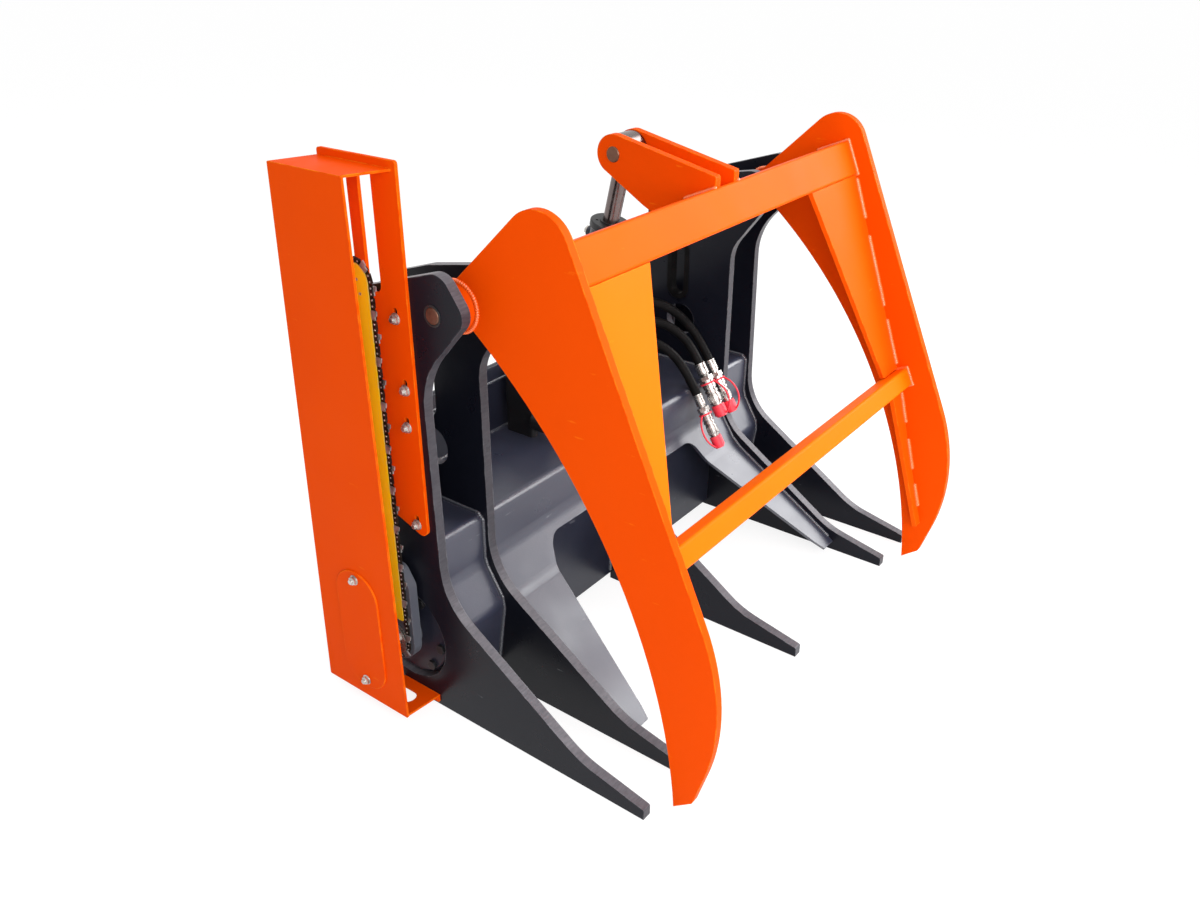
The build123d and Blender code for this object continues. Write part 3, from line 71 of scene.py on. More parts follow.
class Shading:
    """One material's node tree, built with short calls."""

    def __init__(self, name: str) -> None:
        """Start a material with one shader and the piece's own coordinates.

        Args:
            name: the material's name.
        """
        self.material = bpy.data.materials.new(name)
        self.material.use_nodes = True
        self.tree = self.material.node_tree
        self.tree.nodes.clear()
        self.shader = self.node("ShaderNodeBsdfPrincipled")
        output = self.node("ShaderNodeOutputMaterial")
        self.link(self.shader.outputs["BSDF"], output.inputs["Surface"])
        self.coords = self.node("ShaderNodeTexCoord").outputs["Object"]

    def node(self, kind: str, **settings: object) -> bpy.types.Node:
        """Add a node and set its properties.

        Args:
            kind: the node's type name.
            settings: properties to set on it.

        Returns:
            The new node.
        """
        made = self.tree.nodes.new(kind)
        for key, value in settings.items():
            setattr(made, key, value)
        return made

    def link(self, source: Socket, target: Socket) -> None:
        """Join an output to an input."""
        self.tree.links.new(source, target)

    def feed(self, name: str, source: Socket) -> None:
        """Lead an output into one of the shader's inputs."""
        self.link(source, self.shader.inputs[name])

    def noise(self, scale: float, detail: float = 4.0, stretch: Point | None = None) -> Socket:
        """Add a noise pattern.

        Args:
            scale: repeats per metre.
            detail: number of finer layers.
            stretch: factor along each axis, where the pattern is drawn out.

        Returns:
            The pattern, about 0 to 1.
        """
        place = self.coords
        if stretch:
            mapping = self.node("ShaderNodeMapping")
            mapping.inputs["Scale"].default_value = stretch
            self.link(place, mapping.inputs["Vector"])
            place = mapping.outputs["Vector"]
        made = self.node("ShaderNodeTexNoise")
        made.inputs["Scale"].default_value = scale
        made.inputs["Detail"].default_value = detail
        self.link(place, made.inputs["Vector"])
        return made.outputs["Fac"]

    def span(self, value: Socket, low: float, high: float, to: Spot = (0.0, 1.0)) -> Socket:
        """Map a stretch of a pattern onto new limits.

        Args:
            value: the pattern.
            low: value that becomes the first limit.
            high: value that becomes the second limit.
            to: the new limits.

        Returns:
            The mapped pattern, held inside its limits.
        """
        made = self.node("ShaderNodeMapRange", clamp=True)
        made.inputs["From Min"].default_value = low
        made.inputs["From Max"].default_value = high
        made.inputs["To Min"].default_value = to[0]
        made.inputs["To Max"].default_value = to[1]
        self.link(value, made.inputs["Value"])
        return made.outputs["Result"]

    def blend(self, first: Socket, second: Socket, operation: str = "MULTIPLY") -> Socket:
        """Combine two patterns.

        Args:
            first: the first pattern.
            second: the second pattern.
            operation: the Math node's operation.

        Returns:
            The combined pattern, held inside 0 to 1.
        """
        made = self.node("ShaderNodeMath", operation=operation, use_clamp=True)
        self.link(first, made.inputs[0])
        self.link(second, made.inputs[1])
        return made.outputs[0]

    def colours(self, share: Socket, base: Point | Socket, over: Point | Socket) -> Socket:
        """Mix two colours by a pattern.

        Args:
            share: how much of the second colour shows.
            base: first colour, or the output that gives it.
            over: second colour, or the output that gives it.

        Returns:
            The mixed colour.
        """
        made = self.node("ShaderNodeMix", data_type="RGBA")
        self.link(share, made.inputs[MIX_SHARE])
        for socket, colour in ((made.inputs[MIX_FIRST], base), (made.inputs[MIX_SECOND], over)):
            if isinstance(colour, Socket):
                self.link(colour, socket)
            else:
                socket.default_value = (*colour, 1.0)
        return made.outputs[MIX_RESULT]

    def rounded(self, radius: float) -> Socket:
        """Give the normal that the piece would have with rounded edges.

        Args:
            radius: the edges' radius, in metres.

        Returns:
            The normal.
        """
        made = self.node("ShaderNodeBevel", samples=BEVEL_SAMPLES)
        made.inputs["Radius"].default_value = radius
        return made.outputs["Normal"]

    def edges(self, radius: float) -> Socket:
        """Find the piece's edges.

        Args:
            radius: how far from an edge it still counts, in metres.

        Returns:
            1 on an edge, 0 on a flat face.
        """
        across = self.node("ShaderNodeVectorMath", operation="DOT_PRODUCT")
        self.link(self.rounded(radius), across.inputs[0])
        self.link(self.node("ShaderNodeNewGeometry").outputs["Normal"], across.inputs[1])
        return self.span(across.outputs["Value"], *EDGE_COSINES)

    def bare_edges_and_top_light(self) -> Socket:
        """Find the faces that don't look to the left or right, with painted light from above on those that
        look up.

        Returns:
            Up to 1 on a plate's cut edge, 0 on its flat sides.
        """
        parts = self.node("ShaderNodeSeparateXYZ")
        self.link(self.node("ShaderNodeNewGeometry").outputs["Normal"], parts.inputs["Vector"])
        size = self.node("ShaderNodeMath", operation="ABSOLUTE")
        self.link(parts.outputs["X"], size.inputs[0])
        grain = self.span(self.noise(scale=260.0, detail=3.0, stretch=(0.2, 1.0, 1.0)), 0.3, 0.7, (0.65, 1.0))
        # Painted light from above: cut edges that look up take more of the lighter tone.
        dust = self.span(parts.outputs["Z"], 0.1, 0.7, (0.45, 1.0))
        edge_on = self.span(size.outputs[0], 0.75, 0.35)
        return self.blend(edge_on, self.blend(grain, dust))

    def relief(self, height: Socket, depth: float, edge_radius: float = 0.0) -> None:
        """Raise the surface by a pattern.

        Args:
            height: the pattern.
            depth: its depth in metres.
            edge_radius: radius that sharp edges seem to have, in metres.
        """
        bump = self.node("ShaderNodeBump")
        bump.inputs["Strength"].default_value = 1.0
        bump.inputs["Distance"].default_value = depth
        self.link(height, bump.inputs["Height"])
        if edge_radius:
            self.link(self.rounded(edge_radius), bump.inputs["Normal"])
        self.feed("Normal", bump.outputs["Normal"])


@dataclass(frozen=True)
class Paint:
    """Sprayed paint on steel plate, with orange peel, edges lightened by wear and by a painted highlight, and
    cut edges lightened by bare metal and by painted light from above.

    Attributes:
        name: the material's name.
        colour: the paint.
        faded: the paint where it has gone lighter.
        edge_wear_and_highlight: the tone on the edges, partly bare metal where they are rubbed and partly a
            painted highlight.
        edge_wear_and_highlight_share: how much of the edges takes that tone, 0 to 1.
        rough: roughness on the smooth patches.
        mottle: how strongly the two tones of paint differ, 0 to 1.
        shine: specular level.
        cut_edge_and_top_light: the tone on a plate's cut edges, which don't look sideways; partly bare metal
            and partly painted light, stronger where they look up.
    """

    name: str
    colour: Point
    faded: Point
    edge_wear_and_highlight: Point
    edge_wear_and_highlight_share: float = 0.5
    rough: float = 0.34
    mottle: float = 0.6
    shine: float = 0.3
    cut_edge_and_top_light: Point | None = None

    def material(self) -> bpy.types.Material:
        """Build the material.

        Returns:
            The material.
        """
        s = Shading(self.name)
        patches = s.span(s.noise(scale=3.2, detail=5.0), 0.35, 0.68, (0.0, self.mottle))
        tone = s.colours(patches, self.colour, self.faded)
        if self.cut_edge_and_top_light:
            tone = s.colours(s.bare_edges_and_top_light(), tone, self.cut_edge_and_top_light)
        grit = s.noise(scale=46.0, detail=6.0)
        # The edges lighten towards their own tone: partly rubbed wear, partly a painted highlight along folds
        # and edges.
        loose = s.span(grit, 0.62 - 0.3 * self.edge_wear_and_highlight_share, 0.66, (0.0, self.edge_wear_and_highlight_share))
        lines = s.noise(scale=90.0, detail=2.0, stretch=(0.12, 0.12, 1.0))
        scratches = s.blend(s.span(lines, 0.71, 0.76, (0.0, 0.35)), s.span(grit, 0.5, 0.62))
        edge_wear_and_highlight_mask = s.blend(s.blend(s.edges(radius=0.0035), loose), scratches, "MAXIMUM")
        s.feed("Base Color", s.colours(edge_wear_and_highlight_mask, tone, self.edge_wear_and_highlight))
        cloud = s.noise(scale=14.0, detail=6.0)
        s.feed("Roughness", s.span(cloud, 0.3, 0.75, (self.rough, self.rough + 0.12)))
        s.shader.inputs["Specular IOR Level"].default_value = self.shine
        s.relief(s.noise(scale=330.0, detail=2.0), depth=0.00012, edge_radius=0.0016)
        return s.material


@dataclass(frozen=True)
class Steel:
    """Bare or plated steel, with turning marks and stain.

    Attributes:
        name: the material's name.
        colour: the clean metal.
        stain: the darker tone in patches.
        rough: roughness of the clean metal.
        grain: stretch of the marks along each axis.
        grime: how much stain shows, 0 to 1.
        metal: how far it mirrors like clean metal, 0 to 1.
    """

    name: str
    colour: Point
    stain: Point
    rough: float = 0.3
    grain: Point = (1.0, 1.0, 1.0)
    grime: float = 0.5
    metal: float = 1.0

    def material(self) -> bpy.types.Material:
        """Build the material.

        Returns:
            The material.
        """
        s = Shading(self.name)
        marks = s.noise(scale=420.0, detail=3.0, stretch=self.grain)
        patches = s.span(s.noise(scale=60.0, detail=6.0), 0.42, 0.72, (0.0, self.grime))
        s.feed("Base Color", s.colours(patches, self.colour, self.stain))
        s.shader.inputs["Metallic"].default_value = self.metal
        s.feed("Roughness", s.span(marks, 0.3, 0.7, (self.rough, self.rough + 0.18)))
        s.relief(marks, depth=0.00006, edge_radius=0.0006)
        return s.material


@dataclass(frozen=True)
class Rubber:
    """Hose rubber with a fine woven impression and dust.

    Attributes:
        name: the material's name.
        colour: the rubber.
        dust: its dusty tone.
    """

    name: str
    colour: Point
    dust: Point

    def material(self) -> bpy.types.Material:
        """Build the material.

        Returns:
            The material.
        """
        s = Shading(self.name)
        cloud = s.span(s.noise(scale=38.0, detail=6.0), 0.45, 0.75, (0.0, 0.7))
        s.feed("Base Color", s.colours(cloud, self.colour, self.dust))
        s.feed("Roughness", s.span(s.noise(scale=90.0), 0.3, 0.7, (0.38, 0.6)))
        s.shader.inputs["Specular IOR Level"].default_value = 0.06
        s.relief(s.noise(scale=700.0, detail=2.0), depth=0.0002)
        return s.material


@dataclass(frozen=True)
class Plastic:
    """Soft moulded plastic with scuffs.

    Attributes:
        name: the material's name.
        colour: the plastic.
        scuff: its scuffed tone.
        rough: roughness where it is clean.
    """

    name: str
    colour: Point
    scuff: Point
    rough: float = 0.32

    def material(self) -> bpy.types.Material:
        """Build the material.

        Returns:
            The material.
        """
        s = Shading(self.name)
        cloud = s.span(s.noise(scale=55.0, detail=6.0), 0.5, 0.78, (0.0, 0.6))
        s.feed("Base Color", s.colours(cloud, self.colour, self.scuff))
        s.feed("Roughness", s.span(s.noise(scale=120.0), 0.3, 0.7, (self.rough, self.rough + 0.2)))
        s.shader.inputs["Subsurface Weight"].default_value = 0.04
        s.relief(s.noise(scale=500.0, detail=2.0), depth=0.0001, edge_radius=0.0008)
        return s.material


class Finishes(Enum):
    """Every finish on the grapple."""

    ORANGE = Paint(
        "orange_enamel", (0.78, 0.066, 0.0004), (0.82, 0.076, 0.0006), (0.97, 0.27, 0.012),
        edge_wear_and_highlight_share=0.85, rough=0.38, shine=0.02,
    )
    # Lighter and yellower copies of the orange enamel: painted light on the jaw's tubes and ribs that face
    # the lamps.
    TUBE_ORANGE = Paint(
        "orange_enamel_painted_lit", (0.88, 0.088, 0.001), (0.91, 0.104, 0.002), (0.96, 0.28, 0.015),
        edge_wear_and_highlight_share=0.7, rough=0.38, shine=0.03,
    )
    AMBER = Paint(
        "orange_enamel_painted_brighter", (0.89, 0.138, 0.001), (0.92, 0.158, 0.002), (0.97, 0.34, 0.015),
        edge_wear_and_highlight_share=0.7, rough=0.38, shine=0.03,
    )
    GREY = Paint(
        "grey_enamel", (0.013, 0.0145, 0.026), (0.018, 0.020, 0.034), (0.18, 0.19, 0.22),
        edge_wear_and_highlight_share=0.6, rough=0.28, mottle=0.7, shine=0.4,
    )
    # The grey enamel made darker for the tines: painted shade on their sides.
    TINE_GREY = Paint(
        "grey_enamel_painted_shade", (0.005, 0.0055, 0.010), (0.008, 0.009, 0.015), (0.22, 0.23, 0.25),
        edge_wear_and_highlight_share=0.6, rough=0.26, mottle=0.7, shine=0.16, cut_edge_and_top_light=(0.120, 0.115, 0.130),
    )
    # The grey enamel made lighter for the folded sheets: painted light on faces that catch the lamps.
    SHEET_GREY = Paint(
        "grey_enamel_painted_lit", (0.029, 0.032, 0.054), (0.040, 0.043, 0.068), (0.26, 0.27, 0.30),
        edge_wear_and_highlight_share=0.5, rough=0.27, mottle=0.7, shine=0.8,
    )
    YELLOW = Paint(
        "bar_enamel", (0.98, 0.66, 0.002), (1.0, 0.73, 0.003), (0.42, 0.38, 0.33),
        edge_wear_and_highlight_share=0.8, rough=0.36, shine=0.2,
    )
    BLACK = Paint(
        "black_enamel", (0.009, 0.009, 0.010), (0.016, 0.016, 0.018), (0.10, 0.10, 0.10),
        edge_wear_and_highlight_share=0.4, rough=0.36, shine=0.4,
    )
    HOUSING = Paint(
        "cast_skin", (0.020, 0.021, 0.023), (0.034, 0.035, 0.037), (0.15, 0.15, 0.15),
        edge_wear_and_highlight_share=0.4, rough=0.5, mottle=0.8,
    )
    HOLDER = Paint(
        "holder_skin", (0.070, 0.076, 0.098), (0.105, 0.110, 0.130), (0.26, 0.27, 0.28),
        edge_wear_and_highlight_share=0.6, rough=0.4, mottle=0.8, shine=0.5,
    )
    # Bead paints lighter than the plates' own: painted glints on the weld beads.
    GREY_BEAD = Paint(
        "grey_bead_painted_glint", (0.040, 0.043, 0.058), (0.065, 0.068, 0.085), (0.30, 0.31, 0.33),
        edge_wear_and_highlight_share=0.15, rough=0.15, mottle=0.8, shine=1.0,
    )
    ORANGE_BEAD = Paint(
        "orange_bead_painted_glint", (0.85, 0.10, 0.004), (0.92, 0.19, 0.04), (0.95, 0.40, 0.18),
        edge_wear_and_highlight_share=0.15, rough=0.18, mottle=0.9, shine=0.8,
    )
    STEEL = Steel("zinc_plate", (0.58, 0.56, 0.53), (0.14, 0.12, 0.10), rough=0.22, grime=0.8, metal=0.85)
    # Pin steel tinted dark brown: a painted reflection of the orange jaw around the pins.
    PIN = Steel("pin_steel_painted_reflection", (0.18, 0.095, 0.065), (0.09, 0.05, 0.035), grime=0.6)
    # Chrome made dark brown: a painted reflection of the dark and orange parts around the rod.
    CHROME = Steel(
        "hard_chrome_painted_reflection", (0.18, 0.145, 0.14), (0.12, 0.095, 0.09), rough=0.16, grain=(1.0, 1.0, 0.1), grime=0.3
    )
    NICKEL = Steel("nickel_plate", (0.46, 0.44, 0.42), (0.06, 0.055, 0.05), rough=0.16, grime=0.95)
    LINK = Steel("chain_link", (0.060, 0.046, 0.038), (0.014, 0.010, 0.008), rough=0.40, grime=0.9)
    CUTTER = Steel("chain_cutter", (0.40, 0.40, 0.40), (0.05, 0.04, 0.035), rough=0.34, grime=0.9, metal=0.6)
    RUBBER = Rubber("hose_cover", (0.004, 0.0038, 0.004), (0.009, 0.008, 0.008))
    RED = Plastic("cap_plastic", (0.82, 0.028, 0.056), (0.88, 0.09, 0.11))

    @property
    def made(self) -> bpy.types.Material:
        """The finish's material, made on first use."""
        return bpy.data.materials.get(self.value.name) or self.value.material()


NODE_FINISHES: dict[Finishes, tuple[str, ...]] = {
    Finishes.ORANGE: (
        "saw_guard", "guard_cover", "jaw_plate_left", "jaw_plate_right", "hinge_boss_left",
        "hinge_boss_right", "lug_left", "lug_right",
    ),
    # The tubes and the ribs that face the lamps take the copies of the orange with painted light.
    Finishes.TUBE_ORANGE: ("upper_tube", "upper_rib_right", "lower_rib_right"),
    Finishes.AMBER: ("lower_tube", "upper_rib_left", "lower_rib_left"),
    Finishes.TINE_GREY: (
        "tine_left_outer", "tine_left_inner", "tine_centre", "tine_right_inner", "tine_right_outer",
    ),
    Finishes.SHEET_GREY: ("front_sheet", "bay_sheet_left", "bay_sheet_right"),
    Finishes.GREY: (
        "inner_plate", "attach_plate", "hook_bar", "lock_lip", "base_cheek_left", "base_cheek_right",
        "barrel", "motor_flange",
    ),
    Finishes.STEEL: ("guard_bolts", "cover_bolts", "bar_nuts", "piston", "drive_rim"),
    Finishes.PIN: ("jaw_pin_left", "jaw_pin_right", "base_pin", "rod_pin"),
    Finishes.CHROME: ("rod",),
    Finishes.YELLOW: ("saw_bar",),
    Finishes.LINK: ("chain_drive_links", "chain_tie_straps"),
    Finishes.CUTTER: ("chain_cutters",),
    Finishes.HOUSING: ("saw_motor",),
    Finishes.HOLDER: ("bar_holder",),
    Finishes.BLACK: ("selector_valve", "motor_bolts", "gland"),
    Finishes.NICKEL: ("coupler_a", "coupler_b", "coupler_c"),
    Finishes.RED: ("dust_cap_a", "dust_cap_b", "dust_cap_c"),
    Finishes.RUBBER: ("hose_a", "hose_b", "hose_c"),
}


def dress_nodes() -> None:
    """Give every solid of the part its finish."""
    for finish, names in NODE_FINISHES.items():
        for name in names:
            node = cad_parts[name]
            node.data.materials.clear()
            node.data.materials.append(finish.made)
    LOG.info("finished %d solids", sum(len(names) for names in NODE_FINISHES.values()))


def keep(piece: Piece, body: str, finish: Finishes) -> Piece:
    """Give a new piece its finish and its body.

    Args:
        piece: the finished piece, at the origin.
        body: the body that it moves with.
        finish: its finish.

    Returns:
        The same piece.
    """
    piece.data.materials.clear()
    piece.data.materials.append(finish.made)
    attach(piece, body)
    LOG.info("made %s", piece.name)
    return piece


def deselect() -> None:
    """Leave nothing selected."""
    bpy.ops.object.select_all(action="DESELECT")


def pick_faces(piece: Piece, test: FaceTest) -> None:
    """Go into edit mode with only some faces selected.

    Args:
        piece: the active piece.
        test: says whether a face is selected.
    """
    bpy.ops.object.mode_set(mode="EDIT")
    bpy.ops.mesh.select_mode(type="FACE")
    bpy.ops.mesh.select_all(action="DESELECT")
    bpy.ops.object.mode_set(mode="OBJECT")
    for face in piece.data.polygons:
        face.select = test(face)
    bpy.ops.object.mode_set(mode="EDIT")


# Least share of a face's normal along the axis for an end face.
END_FACE = 0.9


def is_end(face: bpy.types.MeshPolygon) -> bool:
    """Say whether a face closes one end of its piece's own axis."""
    return abs(face.normal.z) > END_FACE


def looks_up(face: bpy.types.MeshPolygon) -> bool:
    """Say whether a face looks up its piece's own axis."""
    return face.normal.z > END_FACE


def done_editing(smooth_angle: float = 0.6) -> Piece:
    """Leave edit mode and shade the active piece.

    Args:
        smooth_angle: faces that meet at less than this stay smooth, in radians.

    Returns:
        The active piece.
    """
    bpy.ops.object.mode_set(mode="OBJECT")
    bpy.ops.object.shade_smooth_by_angle(angle=smooth_angle)
    return bpy.context.active_object


def apply_modifiers(piece: Piece) -> None:
    """Apply the active piece's modifiers in order."""
    for modifier in list(piece.modifiers):
        bpy.ops.object.modifier_apply(modifier=modifier.name)


def joined(parts: list[Piece], name: str) -> Piece:
    """Join meshes into one piece.

    Args:
        parts: the meshes.
        name: the piece's name.

    Returns:
        The piece.
    """
    deselect()
    for part in parts:
        part.select_set(True)
    bpy.context.view_layer.objects.active = parts[0]
    if len(parts) > 1:
        bpy.ops.object.join()
    piece = bpy.context.active_object
    piece.name = piece.data.name = name
    return piece


def copies(model: Piece, places: list[Matrix], name: str) -> Piece:
    """Copy a model to several places, each with its own mesh, and join them.

    Args:
        model: the model, at the origin.
        places: where each copy goes.
        name: the piece's name.

    Returns:
        The joined copies, at the origin.
    """
    made = []
    for place in places:
        copy = model.copy()
        copy.data = model.data.copy()
        copy.data.transform(place)
        bpy.context.scene.collection.objects.link(copy)
        made.append(copy)
    bpy.data.objects.remove(model)
    return joined(made, name)


def turned(direction: Vector, place: Vector) -> Matrix:
    """Give the transform that seats a model at a place, its own upward axis along a direction."""
    return Matrix.Translation(place) @ direction.to_track_quat("Z", "Y").to_matrix().to_4x4()


def drum(radius: float, height: float, sides: int = 32, base: float = 0.0) -> Piece:
    """Start a turned or hexagonal piece standing on its axis.

    Args:
        radius: its radius, or its corners' for a hexagon.
        height: its height.
        sides: its number of sides.
        base: height of its underside.

    Returns:
        The piece, active and in edit mode with its upper face selected.
    """
    deselect()
    bpy.ops.mesh.primitive_cylinder_add(
        vertices=sides, radius=radius, depth=height, location=(0.0, 0.0, base + height / 2)
    )
    bpy.ops.object.transform_apply(location=True, rotation=True, scale=True)
    pick_faces(bpy.context.active_object, looks_up)
    return bpy.context.active_object


def pierce(piece: Piece, wall: float, test: FaceTest = is_end) -> None:
    """Open a piece from end to end and stay in edit mode.

    Args:
        piece: the active piece.
        wall: thickness of the wall that stays.
        test: picks the two end faces.
    """
    pick_faces(piece, test)
    bpy.ops.mesh.inset(thickness=wall)
    bpy.ops.mesh.bridge_edge_loops()


def weld_drop(radius: float, reach: float) -> Piece:
    """Model one drop of weld metal.

    Args:
        radius: its radius across the bead.
        reach: half of its length along its own upward axis.

    Returns:
        The drop, active, at the origin and in object mode.
    """
    deselect()
    bpy.ops.mesh.primitive_uv_sphere_add(segments=8, ring_count=5, radius=radius)
    bpy.ops.object.mode_set(mode="EDIT")
    bpy.ops.mesh.select_all(action="SELECT")
    bpy.ops.transform.resize(value=(1.0, 1.0, reach / radius), center_override=(0.0, 0.0, 0.0))
    return done_editing(smooth_angle=3.0)


def grow(rise: float, scale: float) -> None:
    """Extrude the selected end face along the axis and widen or narrow it.

    Args:
        rise: how far the face moves.
        scale: factor on its radius.
    """
    bpy.ops.mesh.extrude_region_move(TRANSFORM_OT_translate={"value": (0.0, 0.0, rise)})
    if scale != 1.0:
        bpy.ops.transform.resize(value=(scale, scale, 1.0), center_override=(0.0, 0.0, 0.0))


@dataclass
class NutSet:
    """Nuts with washers on threaded studs, all alike.

    Attributes:
        name: the piece's name.
        node: the solid that it stands for.
        face_x: the face that the washers lie on, in metres.
        places: each stud's (y, z), in side measures.
        stud: the stud's radius.
        washer_height: the washer's thickness.
        nut_height: the nut's height.
    """

    name: str
    node: str
    face_x: float
    places: tuple[Spot, ...]
    stud: float = 0.005
    washer_height: float = 0.0016
    nut_height: float = 0.0052

    def build(self) -> Piece:
        """Model one nut, copy it to each stud and dress it.

        Returns:
            The piece.
        """
        model = joined([self.washer(), self.nut(), self.thread()], "nut_model")
        spots = [turned(Vector((-1.0, 0.0, 0.0)), seat(self.face_x, y, z)) for y, z in self.places]
        piece = copies(model, spots, self.name)
        keep(piece, "frame", Finishes.STEEL)
        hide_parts(self.node)
        return piece

    def washer(self) -> Piece:
        """Model the washer with a rolled upper edge.

        Returns:
            The washer.
        """
        drum(2.1 * self.stud, self.washer_height)
        bpy.ops.mesh.bevel(offset=0.0005, segments=2, affect="EDGES")
        return done_editing()

    def nut(self) -> Piece:
        """Model the nut with a chamfered face and a raised ring.

        Returns:
            The nut.
        """
        nut = drum(1.8 * self.stud, self.nut_height, sides=6, base=self.washer_height)
        bpy.ops.mesh.bevel(offset=0.0006, segments=1, affect="EDGES")
        pick_faces(nut, lambda face: looks_up(face) and face.area > 0.4 * self.stud**2)
        bpy.ops.mesh.inset(thickness=0.0010)
        grow(rise=0.0006, scale=0.94)
        return done_editing(smooth_angle=0.25)

    def thread(self) -> Piece:
        """Model the stud's end with turns of thread and a chamfer.

        Returns:
            The stud's end.
        """
        drum(self.stud, height=0.0010, sides=20, base=self.washer_height + self.nut_height)
        root = 0.86
        for _ in range(4):
            grow(rise=0.0004, scale=root)
            grow(rise=0.0004, scale=1 / root)
        grow(rise=0.0006, scale=0.8)
        return done_editing(smooth_angle=0.4)


# Half a drop's length as a share of the step, and the lumps' height as a share of the bead's half width.
DROP_OVERLAP = 1.15
BEAD_LUMPS = 0.35


@dataclass
class Bead:
    """One weld bead along straight runs, laid as overlapping drops.

    Attributes:
        runs: the line's points, in side measures.
        leg: half of the bead's width.
        step: distance from drop to drop.
    """

    runs: tuple[Point, ...]
    leg: float = 0.0055
    step: float = 0.0042

    def build(self) -> list[Piece]:
        """Lay every run as a mesh of its own."""
        points = [seat(*point) for point in self.runs]
        return [self.run(start, end) for start, end in zip(points, points[1:])]

    def run(self, start: Vector, end: Vector) -> Piece:
        """Model one drop, repeat it along a run and roughen it.

        Args:
            start: where the run starts.
            end: where it ends.

        Returns:
            The run's mesh, at the origin.
        """
        along = (end - start).normalized()
        drop = weld_drop(self.leg, DROP_OVERLAP * self.step)
        drop.data.transform(turned(along, start))
        row = drop.modifiers.new("row", "ARRAY")
        row.count = max(2, round((end - start).length / self.step))
        row.use_relative_offset = False
        row.use_constant_offset = True
        row.constant_offset_displace = along * self.step
        rough = drop.modifiers.new("rough", "DISPLACE")
        rough.texture = self.lumps()
        rough.texture_coords = "GLOBAL"
        rough.strength = BEAD_LUMPS * self.leg
        apply_modifiers(drop)
        bpy.ops.object.shade_smooth()
        return drop

    @staticmethod
    def lumps() -> bpy.types.Texture:
        """Give the uneven pattern of a hand-laid bead, made on first use.

        Returns:
            The pattern.
        """
        pattern = bpy.data.textures.get("bead_lumps")
        if pattern is None:
            pattern = bpy.data.textures.new("bead_lumps", "CLOUDS")
            pattern.noise_scale = 0.006
        return pattern


def lay(beads: list[Bead], name: str, body: str, finish: Finishes) -> None:
    """Lay the weld beads of one body as one piece."""
    keep(joined([run for bead in beads for run in bead.build()], name), body, finish)


def both_sides(x: float, line: tuple[Spot, ...], leg: float = 0.0055, step: float = 0.0042) -> list[Bead]:
    """Give beads along a line of (y, z), on the faces at x and at -x."""
    return [Bead(tuple((face_x, y, z) for y, z in line), leg, step) for face_x in (x, -x)]


# Side lines of the folded sheets, from the attach plate forward and down, as (y, z).
FRONT_LINE = (
    (0.704, 0.390), (0.489, 0.390), (0.478, 0.379), (0.4745, 0.305), (0.467, 0.281), (0.429, 0.223),
    (0.405, 0.201), (0.140, 0.033),
)
BAY_LINE = (
    (0.704, 0.390), (0.489, 0.390), (0.478, 0.379), (0.4785, 0.295), (0.473, 0.276), (0.437, 0.217),
    (0.434, 0.192), (0.454, 0.055),
)
# Faces of the tine plates that the sheets meet.
INNER_FACE_X = 0.4247
BAY_INNER_X = 0.4447
BAY_OUTER_X = 0.5553
# The attach plate's front face with its edges, and the beam's top.
PLATE_Y = 0.705
PLATE_END_X = 0.560
PLATE_TOP_Z = 0.508
PLATE_FOOT_Z = 0.095
BEAM_Z = 0.390


def frame_beads() -> list[Bead]:
    """List the beads that hold the frame's plates and sheets together.

    Returns:
        The beads.
    """
    beads = both_sides(INNER_FACE_X, FRONT_LINE)
    beads += both_sides(BAY_INNER_X, BAY_LINE) + both_sides(BAY_OUTER_X, BAY_LINE)
    for x in (INNER_FACE_X, BAY_INNER_X, BAY_OUTER_X):
        beads += both_sides(x, ((PLATE_Y, BEAM_Z + 0.004), (PLATE_Y, PLATE_TOP_Z - 0.002)))
    plate_top = ((-PLATE_END_X, PLATE_Y, PLATE_TOP_Z), (PLATE_END_X, PLATE_Y, PLATE_TOP_Z))
    beads.append(Bead(plate_top, leg=0.004, step=0.0036))
    for start, end, z in (
        (-INNER_FACE_X, INNER_FACE_X, BEAM_Z), (-PLATE_END_X, PLATE_END_X, PLATE_FOOT_Z),
        (BAY_INNER_X, BAY_OUTER_X, BEAM_Z), (-BAY_INNER_X, -BAY_OUTER_X, BEAM_Z),
    ):
        beads.append(Bead(((start, PLATE_Y, z), (end, PLATE_Y, z))))
    cheek_feet = both_sides(0.039, ((0.562, BEAM_Z), (0.648, BEAM_Z)))
    centre_tine = both_sides(0.010, ((0.494, 0.236), (0.494, 0.020)))
    return beads + cheek_feet + centre_tine


